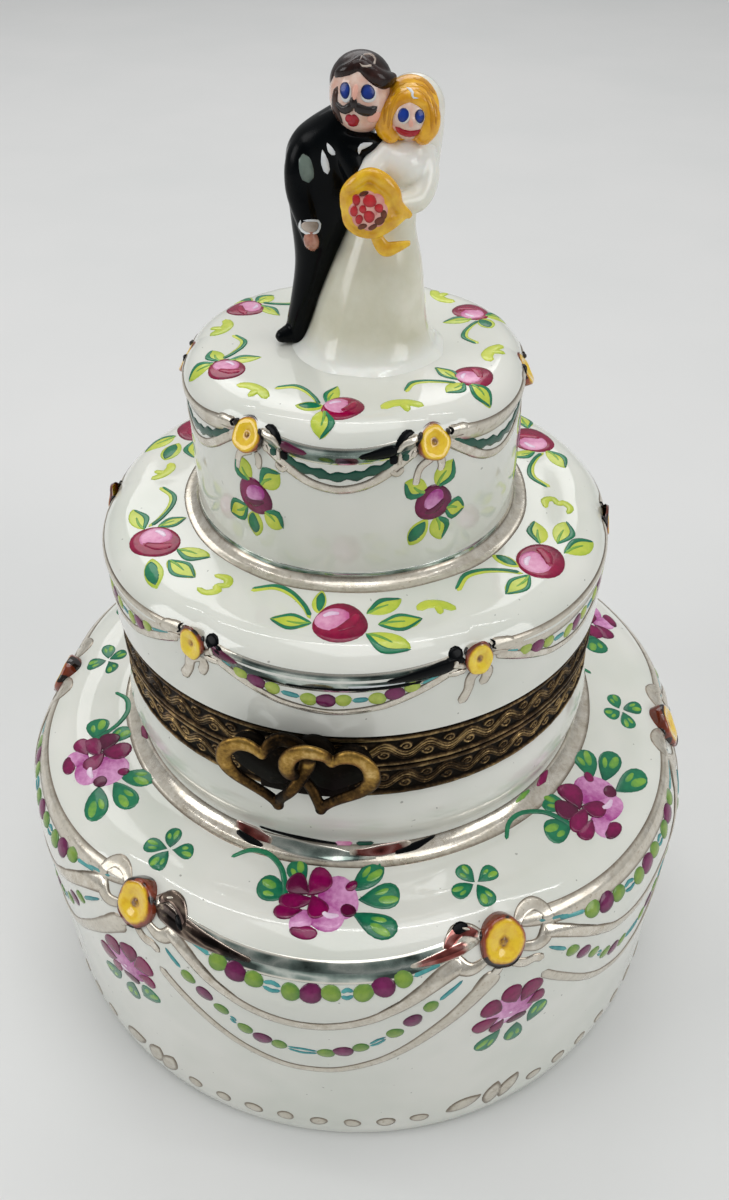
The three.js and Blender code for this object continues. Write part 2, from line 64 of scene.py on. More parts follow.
MM = 0.001
TURN = 2 * pi
Point2 = tuple[float, float]
Point3 = tuple[float, float, float]
Array = np.ndarray
Row = tuple[Union[float, Array], Union[float, Array]]
Socket = bpy.types.NodeSocket
Colour = Union[str, Socket]
Stops = Sequence[tuple[float, str]]


class Body(str, Enum):
    """The two rigid bodies that pieces ride on."""

    BASE = "box_base"
    LID = "box_lid"


class Slot(str, Enum):
    """The record's material slots."""

    PORCELAIN = "porcelain"
    BRASS = "brass"
    BRIGHT_BRASS = "bright_brass"
    YELLOW = "yellow_glaze"
    BLACK = "black_glaze"
    SKIN = "skin_glaze"
    IVORY = "ivory_glaze"


def smooth(low: float, high: float, value: Array) -> Array:
    """Rises smoothly from 0 at low to 1 at high.

    Args:
        low: where the rise starts.
        high: where it ends.
        value: the numbers to map.
    Returns:
        The mapped numbers.
    """
    t = np.clip((np.asarray(value, float) - low) / (high - low), 0.0, 1.0)
    return t * t * (3 - 2 * t)


def linear(colour: str) -> tuple[float, float, float, float]:
    """Turns an sRGB hex colour into linear RGBA.

    Args:
        colour: such as "#e8b822".
    Returns:
        Linear red, green, blue and an alpha of 1.
    """
    values = [int(colour[i : i + 2], 16) / 255 for i in (1, 3, 5)]
    return (*[v / 12.92 if v <= 0.04045 else ((v + 0.055) / 1.055) ** 2.4 for v in values], 1.0)


# Materials


class Sheet:
    """The nodes of one material or of the world, with one way of adding a node."""

    def __init__(self, owner: bpy.types.ID, output: str = "ShaderNodeOutputMaterial") -> None:
        """Clears the owner's nodes and gives it an output.

        Args:
            owner: the material or world.
            output: type of its output.
        """
        owner.use_nodes = True
        self.owner, self.tree = owner, owner.node_tree
        self.tree.nodes.clear()
        self.output = self.tree.nodes.new(output)

    @classmethod
    def named(cls, name: str) -> "Sheet":
        """Starts a new material."""
        return cls(bpy.data.materials.new(name))

    def add(
        self, kind: str, inputs: Union[dict, Sequence] = (), out: Union[int, str] = 0, stops: Stops = (),
        **settings: object,
    ) -> Socket:
        """Adds a node, sets its properties and fills or links its inputs.

        Args:
            kind: the node's type, without the ShaderNode in front.
            inputs: values, sRGB texts or sockets to link, by name or number or in the node's own order.
            out: name or number of the output that is wanted.
            stops: places and sRGB colours of a colour ramp.
            settings: properties of the node.
        Returns:
            The output.
        """
        node = self.tree.nodes.new("ShaderNode" + kind)
        for key, value in settings.items():
            setattr(node, key, value)
        for key, value in (inputs if isinstance(inputs, dict) else dict(enumerate(inputs))).items():
            if isinstance(value, Socket):
                self.tree.links.new(value, node.inputs[key])
            else:
                node.inputs[key].default_value = linear(value) if isinstance(value, str) else value
        if stops:
            elements = node.color_ramp.elements
            while len(elements) < len(stops):
                elements.new(1.0)
            for element, (place, colour) in zip(elements, stops):
                element.position, element.color = place, linear(colour)
        return node.outputs[out]

    def mottle(self, size_mm: float, detail: float, rough: float = 0.55, squash: float = 1.0) -> Socket:
        """Makes mottling that is fixed to the piece, in blotches about a size across.

        Args:
            size_mm: how wide a blotch is.
            detail: how many finer layers break it up.
            rough: how strong these are.
            squash: how much flatter than wide it is.
        Returns:
            A level that is mostly between 0.3 and 0.7.
        """
        place = self.add("TexCoord", out="Object")
        if squash != 1.0:
            place = self.add("VectorMath", (place, (1.0, 1.0, squash)), operation="MULTIPLY")
        inputs = {"Vector": place, "Scale": 1 / (size_mm * MM), "Detail": detail, "Roughness": rough}
        return self.add("TexNoise", inputs)

    def uneven(
        self, size_mm: float, detail: float, low: float, high: float, least: float = 0.0, most: float = 1.0,
        rough: float = 0.55,
    ) -> Socket:
        """Makes a level that wanders between two others as the mottling goes from low to high.

        Args:
            size_mm: how wide a blotch is.
            detail: how many finer layers break it up.
            low: the mottling at which it starts to change.
            high: the mottling at which it ends.
            least: the level at low.
            most: the level at high.
            rough: how strong the finer layers are.
        Returns:
            The level.
        """
        return self.add("MapRange", (self.mottle(size_mm, detail, rough), low, high, least, most))

    def clouded(
        self, first: Colour, second: Colour, size_mm: float, detail: float, low: float, high: float,
        most: float = 1.0, rough: float = 0.55,
    ) -> Socket:
        """Makes one colour clouded with another.

        Args:
            first: the colour below.
            second: the colour of the clouds.
            size_mm: how wide a cloud is.
            detail: how many finer layers break it up.
            low: the mottling at which a cloud starts.
            high: the mottling at which it is at its strongest.
            most: how strong that is.
            rough: how strong the finer layers are.
        Returns:
            The colour.
        """
        clouds = self.uneven(size_mm, detail, low, high, 0.0, most, rough)
        return self.add("Mix", {0: clouds, 6: first, 7: second}, 2, data_type="RGBA")

    def relief(self, size_mm: float, detail: float, depth_mm: float, strength: float) -> Socket:
        """Makes an uneven surface of a real size and depth.

        Args:
            size_mm: how wide a bump is.
            detail: how many finer layers break it up.
            depth_mm: how deep it is.
            strength: how much of it shows.
        Returns:
            The normal.
        """
        height = self.mottle(size_mm, detail)
        inputs = {"Height": height, "Distance": depth_mm * MM, "Strength": strength}
        return self.add("Bump", inputs, "Normal")

    def tone(self) -> Sequence[Socket]:
        """Reads the mesh's tone: red is 0 at a stroke's middle and 1 at its edge, green differs from
        stroke to stroke, and blue runs along it."""
        return self.add("SeparateColor",
                        (self.add("Attribute", (), "Color", attribute_name="tone"),)).node.outputs

    def finish(self, shader: Socket) -> bpy.types.ID:
        """Links the shader to the output."""
        self.tree.links.new(shader, self.output.inputs["Surface"])
        return self.owner


class Finish(Protocol):
    """A real material and the way it was worked."""

    name: str

    def build(self) -> bpy.types.Material:
        """Makes the material."""
        ...


@dataclass(frozen=True)
class GlazedPorcelain:
    """White porcelain under a clear glaze: a cool white, thicker and greener where the glaze pooled,
    with rare black specks from the kiln."""

    name: str = "glazed_porcelain"
    white: str = "#ebebe3"
    pooled: str = "#dee1d7"
    speck: str = "#5f5a50"

    def build(self) -> bpy.types.Material:
        """Makes the material.

        Returns:
            The material.
        """
        s = Sheet.named(self.name)
        body = s.clouded(self.white, self.pooled, 9.0, 2.0, 0.35, 0.7)
        colour = s.clouded(body, self.speck, 0.4, 0.0, 0.85, 0.87, 0.5)
        wave = s.relief(5.0, 1.0, 0.05, 0.35)
        return s.finish(s.add("BsdfPrincipled", {
            "Base Color": colour, "Roughness": s.uneven(3.0, 3.0, 0.3, 0.7, 0.05, 0.12), "IOR": 1.5,
            "Specular IOR Level": 0.55, "Coat Weight": 0.4, "Coat Roughness": 0.03, "Normal": wave,
            "Subsurface Weight": 0.12, "Subsurface Radius": (1.0, 0.9, 0.8), "Subsurface Scale": 0.8 * MM,
        }))


@dataclass(frozen=True)
class Bisque:
    """Unglazed porcelain of the foot ring: matt, warm white and a little grey from handling."""

    name: str = "bisque_foot"
    clean: str = "#e6e2d8"
    soiled: str = "#b9b0a0"

    def build(self) -> bpy.types.Material:
        """Makes the material.

        Returns:
            The material.
        """
        s = Sheet.named(self.name)
        colour = s.clouded(self.clean, self.soiled, 1.6, 5.0, 0.45, 0.75, 0.8)
        grain = s.relief(0.25, 4.0, 0.03, 0.6)
        return s.finish(s.add("BsdfPrincipled", {"Base Color": colour, "Roughness": 0.85, "Normal": grain}))


@dataclass(frozen=True)
class Enamel:
    """Overglaze enamel laid with a brush: thin and bright in the middle of a stroke, deeper where it
    pooled at the edge and where the brush started."""

    name: str
    thin: str
    deep: str
    along: float = 0.5
    edge: float = 0.5
    roughness: float = 0.14

    def build(self) -> bpy.types.Material:
        """Makes the material.

        Returns:
            The material.
        """
        s = Sheet.named(self.name)
        red, green, blue = s.tone()[:3]
        edge = s.add("Math", (s.add("Math", (red, 2.5), operation="POWER"), self.edge), operation="MULTIPLY")
        along = s.add("Math", (blue, self.along), operation="MULTIPLY")
        streak = s.uneven(0.45, 3.0, 0.3, 0.7, -0.22, 0.22)
        own = s.add("MapRange", (green, 0.0, 1.0, -0.14, 0.14))
        depth = s.add("Math", (s.add("Math", (edge, along)), s.add("Math", (streak, own))))
        share = s.add("MapRange", (depth, 0.0, 1.0, 0.0, 1.0))
        return s.finish(s.add("BsdfPrincipled", {
            "Base Color": s.add("Mix", {0: share, 6: self.thin, 7: self.deep}, 2, data_type="RGBA"),
            "Roughness": s.uneven(0.8, 3.0, 0.3, 0.7, self.roughness * 0.7, self.roughness * 1.5), "IOR": 1.5,
            "Specular IOR Level": 0.36, "Coat Weight": 0.15, "Coat Roughness": 0.05,
            "Normal": s.relief(0.35, 3.0, 0.012, 0.7),
        }))


@dataclass(frozen=True)
class PlatinumLustre:
    """Fired platinum lustre: thin warm grey metal with brush marks, worn to pale beige with brown specks
    where it stands proud, and a thin dark line along its edge that is painted shade, where the raised
    stroke turns down."""

    name: str = "platinum_lustre"
    bright: str = "#e9e3d7"
    dull: str = "#bfb5a4"
    worn: str = "#d0c9ba"
    pit: str = "#8f8069"
    # Colour of the painted shade along the stroke's edge.
    edge: str = "#7d7060"
    wear: float = 1.1
    wear_mm: float = 4.5

    def build(self) -> bpy.types.Material:
        """Makes the material.

        Returns:
            The material.
        """
        s = Sheet.named(self.name)
        brushed = s.clouded(self.bright, self.dull, 0.9, 5.0, 0.35, 0.7, rough=0.65)
        # Where the painted shade along the edge lies.
        rim = s.add("MapRange", (s.tone()[0], 0.62, 0.86, 0.0, 1.0))
        normal = s.relief(0.5, 4.0, 0.02, 0.5)
        pitted = s.clouded(self.worn, self.pit, 0.3, 4.0, 0.58, 0.68, 0.7)
        layers = []
        for colour, strength, metallic, rough in ((brushed, 0.95, 0.75, 0.16), (pitted, 0.8, 0.2, 0.35)):
            line = s.add("Math", (rim, strength), operation="MULTIPLY")
            edge_with_painted_shade = s.add("Mix", {0: line, 6: colour, 7: self.edge}, 2, data_type="RGBA")
            inputs = {"Base Color": edge_with_painted_shade, "Metallic": metallic, "Roughness": rough, "Normal": normal}
            layers.append(s.add("BsdfPrincipled", inputs))
        where = s.uneven(self.wear_mm, 4.0, 0.62 - 0.14 * self.wear, 0.7, 0.0, 0.95, rough=0.7)
        return s.finish(s.add("MixShader", (where, *layers)))


@dataclass(frozen=True)
class PaintedReflectionLustre:
    """Platinum lustre laid thick enough to mirror, coloured with painted reflections: slate with darker
    painted streaks along the stroke, a painted highlight line along each edge, and rubbed to pale beige
    towards its ends."""

    name: str = "platinum_mirror"
    dark: str = "#3a4541"
    middle: str = "#8b9b94"
    pale: str = "#cbd1c9"
    line: str = "#eae4d8"
    worn: str = "#cfc7b8"
    pit: str = "#94866f"
    patch_mm: float = 5.0

    def build(self) -> bpy.types.Material:
        """Makes the material.

        Returns:
            The material.
        """
        s = Sheet.named(self.name)
        red, _green, blue = s.tone()[:3]
        # Painted reflections: dark, slate and pale streaks along the stroke.
        broad = s.mottle(self.patch_mm, 1.0, 0.5, 3.0)
        broad = s.add("Math", (broad, s.uneven(0.9, 3.0, 0.3, 0.7, -0.03, 0.03)))
        stops = ((0.36, self.dark), (0.46, self.middle), (0.54, self.pale), (0.64, self.middle),
                 (0.72, self.dark))
        # A painted highlight line along each edge.
        from_line = s.add("Math", (s.add("Math", (red, 0.82), operation="SUBTRACT"),), operation="ABSOLUTE")
        line = s.add("MapRange", (from_line, 0.02, 0.14, 0.95, 0.0))
        normal = s.relief(1.5, 2.0, 0.03, 0.4)
        pits = s.uneven(0.3, 4.0, 0.52, 0.64, 0.0, 0.7)
        streaks = s.add("ValToRGB", (broad,), stops=stops)
        thick = s.add("Mix", {0: line, 6: streaks, 7: self.line}, 2, data_type="RGBA")
        rubbed = s.add("Mix", {0: pits, 6: self.worn, 7: self.pit}, 2, data_type="RGBA")
        layers = []
        for colour, metallic, rough in ((thick, 0.85, 0.08), (rubbed, 0.3, 0.3)):
            inputs = {"Base Color": colour, "Metallic": metallic, "Roughness": rough, "Normal": normal}
            layers.append(s.add("BsdfPrincipled", inputs))
        ends = s.add("Math", (s.add("MapRange", (blue, 0.0, 1.0, -1.0, 1.0)),), operation="ABSOLUTE")
        ends = s.add("Math", (ends, s.uneven(2.2, 4.0, 0.3, 0.7, -0.2, 0.2)))
        return s.finish(s.add("MixShader", (s.add("MapRange", (ends, 0.72, 0.95, 0.0, 0.95)), *layers)))


@dataclass(frozen=True)
class AntiquedBrass:
    """Stamped brass, blackened and rubbed back: near black in the hollows, gold on what stands proud."""

    name: str = "antiqued_brass"
    hollow: str = "#15100b"
    middle: str = "#4a3926"
    crest: str = "#b09465"
    bright: str = "#d0a860"
    shine: float = 0.3

    def build(self) -> bpy.types.Material:
        """Makes the material.

        Returns:
            The material.
        """
        s = Sheet.named(self.name)
        red = s.tone()[0]
        stain = s.uneven(1.8, 4.0, 0.3, 0.72, -0.2, 0.16)
        fine = s.uneven(0.3, 4.0, 0.3, 0.7, -0.12, 0.12)
        level = s.add("Math", (red, s.add("Math", (stain, fine))))
        stops = ((0.08, self.hollow), (0.42, self.middle), (0.74, self.crest), (1.0, self.bright))
        colour = s.add("ValToRGB", (level,), stops=stops)
        rough = s.add("MapRange", (level, 0.0, 1.0, 0.62, self.shine))
        normal = s.relief(0.18, 4.0, 0.02, 0.6)
        inputs = {"Base Color": colour, "Metallic": 0.95, "Roughness": rough, "Normal": normal}
        return s.finish(s.add("BsdfPrincipled", inputs))


@dataclass(frozen=True)
class RosetteGlaze:
    """A pressed rosette, painted yellow round a brown dot, with a red brown rim that is patched nearly
    black in places."""

    name: str = "rosette_glaze"
    spread: float = 0.82
    dot: str = "#7a5228"
    ring: str = "#cf9a1e"
    yellow: str = "#f7cf2e"
    amber: str = "#e9b424"
    rim: str = "#9a4326"
    dark: str = "#652817"
    patch: str = "#1f1411"

    def build(self) -> bpy.types.Material:
        """Makes the material.

        Returns:
            The material.
        """
        s = Sheet.named(self.name)
        red, w = s.tone()[0], self.spread
        level = s.add("Math", (red, s.uneven(0.9, 3.0, 0.3, 0.7, -0.05, 0.05)))
        stops = (
            (0.0, self.dot), (0.14, self.dot), (0.2, self.ring), (0.27, self.yellow), (w - 0.08, self.yellow),
            (w - 0.02, self.ring), (w + 0.05, self.rim), (1.0, self.dark),
        )
        colour = s.add("ValToRGB", (level,), stops=stops)
        for tint, patches, run in (
            (self.amber, (0.5, 2.0, 0.45, 0.65, 0.0, 0.6), (w - 0.1, w, 1.0, 0.0)),
            (self.patch, (1.5, 0.0, 0.54, 0.58, 0.0, 1.0), (w, w + 0.05, 0.0, 1.0)),
        ):
            share = s.add("Math", (s.uneven(*patches), s.add("MapRange", (red, *run))), operation="MULTIPLY")
            colour = s.add("Mix", {0: share, 6: colour, 7: tint}, 2, data_type="RGBA")
        return s.finish(s.add("BsdfPrincipled", {
            "Base Color": colour, "Roughness": 0.1, "IOR": 1.5, "Coat Weight": 0.6, "Coat Roughness": 0.04,
            "Normal": s.relief(0.5, 2.0, 0.03, 0.5),
        }))


@dataclass(frozen=True)
class FigureGlaze:
    """Coloured glaze poured over a cast figure: even and glassy, with slow clouds of a second tint.
    Where asked it is paler high up, a painted highlight, and paler where it pooled at the hem."""

    name: str
    colour: str
    cloud: str
    size_mm: float = 2.5
    roughness: float = 0.08
    sheen: float = 0.0
    subsurface: float = 0.0
    coat: float = 0.6
    specular: float = 0.5
    # Colour of the painted highlight high up, and the height where it starts.
    high: str = ""
    highlight_from_mm: float = 0.0
    hem: str = ""
    hem_from_mm: float = 0.0

    def build(self) -> bpy.types.Material:
        """Makes the material.

        Returns:
            The material.
        """
        s = Sheet.named(self.name)
        colour = s.clouded(self.colour, self.cloud, self.size_mm, 4.0, 0.35, 0.68)
        # Paler high up: a painted highlight. Paler at the hem, where the glaze pooled.
        if self.high:
            rise = s.add("SeparateXYZ", (s.add("TexCoord", out="Object"),), "Z")
            for tint, start, run, levels in (
                (self.high, self.highlight_from_mm, 4.0, (0.0, 1.0)),
                (self.hem, self.hem_from_mm, 1.4, (1.0, 0.0)),
            ):
                share = s.add("MapRange", (rise, start * MM, start * MM + run * MM, *levels))
                colour = s.add("Mix", {0: share, 6: colour, 7: tint}, 2, data_type="RGBA")
        return s.finish(s.add("BsdfPrincipled", {
            "Base Color": colour, "IOR": 1.5, "Specular IOR Level": self.specular, "Coat Weight": self.coat,
            "Roughness": s.uneven(1.5, 3.0, 0.3, 0.7, self.roughness * 0.7, self.roughness * 1.8),
            "Coat Roughness": 0.04, "Sheen Weight": self.sheen, "Sheen Roughness": 0.4,
            "Subsurface Weight": self.subsurface, "Subsurface Radius": (1.0, 0.7, 0.5),
            "Subsurface Scale": 0.6 * MM, "Normal": s.relief(1.2, 3.0, 0.04, 0.5),
        }))


# Every finish on the object


PORCELAIN = GlazedPorcelain()
BISQUE = Bisque()
LUSTRE = PlatinumLustre()
WORN_LUSTRE = PlatinumLustre(name="platinum_lustre_worn", wear=2.2)
# Lustres coloured with painted reflections: slate, red and near black.
PAINTED_REFLECTION_LUSTRE = PaintedReflectionLustre()
RED_PAINTED_REFLECTION = PaintedReflectionLustre("platinum_rust", "#4d211e", "#8c4842", "#b07a74", patch_mm=2.5)
DARK_PAINTED_REFLECTION = PaintedReflectionLustre("platinum_smoked", "#17110f", "#3d302b", "#8a7a6c", "#a2958a", "#4c3e37",
                             patch_mm=3.0)
BRASS = AntiquedBrass()
# On the hearts its tone carries painted light and shade as well as the rubbed metal.
HEART_BRASS = AntiquedBrass(
    name="rubbed_brass", hollow="#1b130b", middle="#5e4524", crest="#b08b45", bright="#ddbd7c", shine=0.3
)
ROSETTE = RosetteGlaze()
MID_ROSETTE = RosetteGlaze("mid_rosette_glaze", 0.88, yellow="#fbdc38", amber="#efc128")
TOP_ROSETTE = RosetteGlaze("top_rosette_glaze", 0.88)
PLUM = Enamel("enamel_plum", "#8f0b56", "#4c052f", 0.4, 0.6)
DARK_PLUM = Enamel("enamel_dark_plum", "#6b1242", "#380720", 0.4, 0.5)
ORCHID = Enamel("enamel_orchid", "#ecb0dc", "#a93a8e", 0.95, 0.3)
LILAC = Enamel("enamel_lilac", "#f6e4f3", "#dcaad4", 0.5, 0.3)
CRIMSON = Enamel("enamel_crimson", "#a80546", "#6c022e", 0.4, 0.5)
ROSE = Enamel("enamel_rose", "#f0b4d3", "#cb5c99", 0.8, 0.35)
LEAF = Enamel("enamel_leaf", "#8fbe45", "#34884a", 0.6, 0.4)
DEEP_LEAF = Enamel("enamel_deep_leaf", "#23855a", "#0b5a45", 0.5, 0.5)
LIME = Enamel("enamel_lime", "#d3dc55", "#a9c23c", 0.5, 0.45)
BEAD_LIME = Enamel("enamel_bead_lime", "#8aa848", "#487a3c", 0.3, 0.6)
PALE_BEAD = Enamel("enamel_bead_pale_lime", "#b9c85c", "#83a23c", 0.3, 0.6)
BEAD_PLUM = Enamel("enamel_bead_plum", "#7f2a5e", "#450f33", 0.2, 0.7)
TEAL = Enamel("enamel_teal", "#5aa9a8", "#256f78", 0.5, 0.6)
FOREST = Enamel("enamel_forest", "#185643", "#08302a", 0.3, 0.6)
BROWN = Enamel("enamel_brown", "#7a3b22", "#3b1a10", 0.4, 0.6)
BLACK = FigureGlaze("black_figure_glaze", "#020406", "#06090c", 2.0, 0.16, coat=0.0, specular=0.1)
# Its chest is paler by a painted highlight, its hem paler where the glaze pooled.
IVORY = FigureGlaze(
    "pearl_figure_glaze", "#e8e6d5", "#d8d5be", 3.0, 0.12, 0.15, 0.15, 0.3, high="#f6f6f0", highlight_from_mm=71.5,
    hem="#f1f2ea", hem_from_mm=62.75
)
VEIL = FigureGlaze("white_figure_glaze", "#f1efe6", "#e4e2d6", 2.0, 0.12, 0.0, 0.15, 0.3)
SKIN = FigureGlaze("flesh_figure_glaze", "#f0d6c8", "#dfae9b", 1.1, 0.14, 0.0, 0.2, 0.4)
DARK_HAIR = FigureGlaze("brown_hair_glaze", "#170b0a", "#38201c", 0.9, 0.16, coat=0.1, specular=0.3)
GOLD_HAIR = FigureGlaze("gold_hair_glaze", "#f8bd2c", "#d6911a", 0.7, 0.14, coat=0.2)
WRAP = FigureGlaze("bouquet_wrap_glaze", "#f8c92c", "#d99a1a", 0.9, 0.12, coat=0.3)
POSY = Enamel("enamel_posy_pink", "#efbfb0", "#d9857f", 0.5, 0.5)
HAND = FigureGlaze("hand_glaze", "#c98f78", "#9c5f4c", 0.5, 0.12)
BLOOM = Enamel("enamel_bloom_red", "#d2333a", "#8f1219", 0.3, 0.6)
EYE_WHITE = Enamel("enamel_eye_white", "#dfe3e4", "#d3cfcc", 0.2, 0.6)
COBALT = Enamel("enamel_cobalt", "#1b3f9f", "#07103c", 0.1, 0.95)
LIP = Enamel("enamel_lip_red", "#b81f33", "#8a0f20", 0.3, 0.5)
BLUSH = Enamel("enamel_blush", "#eeb4a2", "#e5927f", 0.2, -0.2)
SOOT = Enamel("enamel_soot", "#2c2524", "#120d0c", 0.3, 0.4)
HAIR_SHADE = Enamel("enamel_hair_shade", "#d89b1f", "#b57410", 0.5, 0.4)
BROWN_HAIR = Enamel("enamel_brown_hair", "#4a3128", "#231613", 0.4, 0.4)
SHIRT = Enamel("enamel_shirt_white", "#eef1f3", "#c3cbd2", 0.4, 0.5)
# A painted glint on the black glaze of the suit.
GLINT = Enamel("enamel_grey_green", "#74837a", "#3c4a46", 0.5, 0.6)
CUFF = Enamel("enamel_cuff", "#cbbdb0", "#8b7a70", 0.8, 0.2)
MADE: dict[str, bpy.types.Material] = {}


def material_of(finish: Finish) -> bpy.types.Material:
    """Makes a finish the first time it is asked for.

    Args:
        finish: the finish.
    Returns:
        Its material.
    """
    if finish.name not in MADE:
        MADE[finish.name] = finish.build()
    return MADE[finish.name]


# Meshes


def make_piece(
    name: str,
    points: Array,
    faces: Iterable[Sequence[int]],
    finish: Finish,
    body: Body,
    tones: Optional[Array] = None,
    crease: Optional[float] = None,
) -> bpy.types.Object:
    """Makes a smooth mesh object from points in millimetres and lets it ride on a body.

    Args:
        name: the piece's name.
        points: one row for each vertex, in millimetres in the object's frame.
        faces: vertex numbers of each face.
        finish: its finish.
        body: the body it rides on.
        tones: red, green and blue of each vertex, for the finish to read.
        crease: angle in degrees above which an edge stays sharp.
    Returns:
        The object.
    """
    mesh = bpy.data.meshes.new(name)
    mesh.from_pydata((np.asarray(points) * MM).tolist(), [], [list(f) for f in faces])
    mesh.update()
    if tones is not None:
        colours = np.ones((len(points), 4))
        colours[:, :3] = np.clip(tones, 0, 1)
        attribute = mesh.color_attributes.new("tone", "FLOAT_COLOR", "POINT")
        attribute.data.foreach_set("color", colours.ravel())
    mesh.shade_smooth()
    if crease is not None:
        mesh.set_sharp_from_angle(angle=radians(crease))
    mesh.materials.append(material_of(finish))
    piece = bpy.data.objects.new(name, mesh)
    bpy.context.scene.collection.objects.link(piece)
    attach(piece, body.value)
    log.info("%s: %d faces, %s", name, len(mesh.polygons), finish.name)
    return piece


def red_tones(levels: Sequence[float]) -> Array:
    """Turns levels into tones that have only red."""
    return np.multiply.outer(np.ravel(levels), (1.0, 0.0, 0.0))


def grid_faces(rows: int, columns: int, around: bool, joined: bool = False, start: int = 0) -> list[tuple]:
    """Lists the quads of a grid of vertices.

    Args:
        rows: how many rows of vertices.
        columns: how many in a row.
        around: whether each row closes on itself.
        joined: whether the last row joins the first.
        start: number of the first vertex.
    Returns:
        The quads.
    """
    faces = []
    for i in range(rows if joined else rows - 1):
        here, there = start + i * columns, start + ((i + 1) % rows) * columns
        for j in range(columns if around else columns - 1):
            k = (j + 1) % columns
            faces.append((here + j, here + k, there + k, there + j))
    return faces


def spread_rows(levels: Iterable[Union[float, Array]], angles: Array) -> Array:
    """Spreads a level, or one for each angle, over all the angles of its row."""
    return np.array([np.broadcast_to(level, angles.shape) for level in levels])


def revolve(rows: Sequence[Row], angles: Array) -> Array:
    """Turns rows of radius and height at some angles into points, with the clasp's side at angle 0."""
    radius, height = (spread_rows(levels, angles) for levels in zip(*rows))
    return np.stack([radius * np.sin(angles), -radius * np.cos(angles), height], axis=-1).reshape(-1, 3)


def fan(centre: Point2, radius: float, start: float, end: float, steps: int) -> list[Point2]:
    """Rows of radius and height along an arc, from a start to an end in degrees."""
    angles = np.radians(np.linspace(start, end, steps))
    return [(centre[0] + radius * cos(a), centre[1] + radius * sin(a)) for a in angles]


def compass(turn: float) -> Point2:
    """Cosine and sine of an angle in degrees."""
    return cos(radians(turn)), sin(radians(turn))


def end_caps(start: int, rows: int, columns: int) -> list[tuple]:
    """The two faces that close a tube whose first vertex has a number."""
    last = start + (rows - 1) * columns
    return [tuple(reversed(range(start, start + columns))), tuple(range(last, last + columns))]


def spline(points: Sequence[Sequence[float]], count: int) -> Array:
    """Passes a smooth curve through points.

    Args:
        points: what it passes through.
        count: how many points to give back.
    Returns:
        Points spread evenly along the curve.
    """
    p = np.asarray(points, float)
    p = np.vstack([2 * p[0] - p[1], p, 2 * p[-1] - p[-2]])
    fine = []
    for i in range(1, len(p) - 2):
        for t in np.linspace(0, 1, 16, endpoint=False):
            a, b, c, d = p[i - 1 : i + 3]
            curved = (2 * a - 5 * b + 4 * c - d) * t**2 + (3 * b - a - 3 * c + d) * t**3
            fine.append(0.5 * (2 * b + (c - a) * t + curved))
    fine.append(p[-2])
    curve = np.asarray(fine)
    span = np.concatenate([[0], np.cumsum(np.linalg.norm(np.diff(curve, axis=0), axis=1))])
    even = np.linspace(0, span[-1], count)
    return np.stack([np.interp(even, span, curve[:, k]) for k in range(curve.shape[1])], axis=1)


# The porcelain's skin


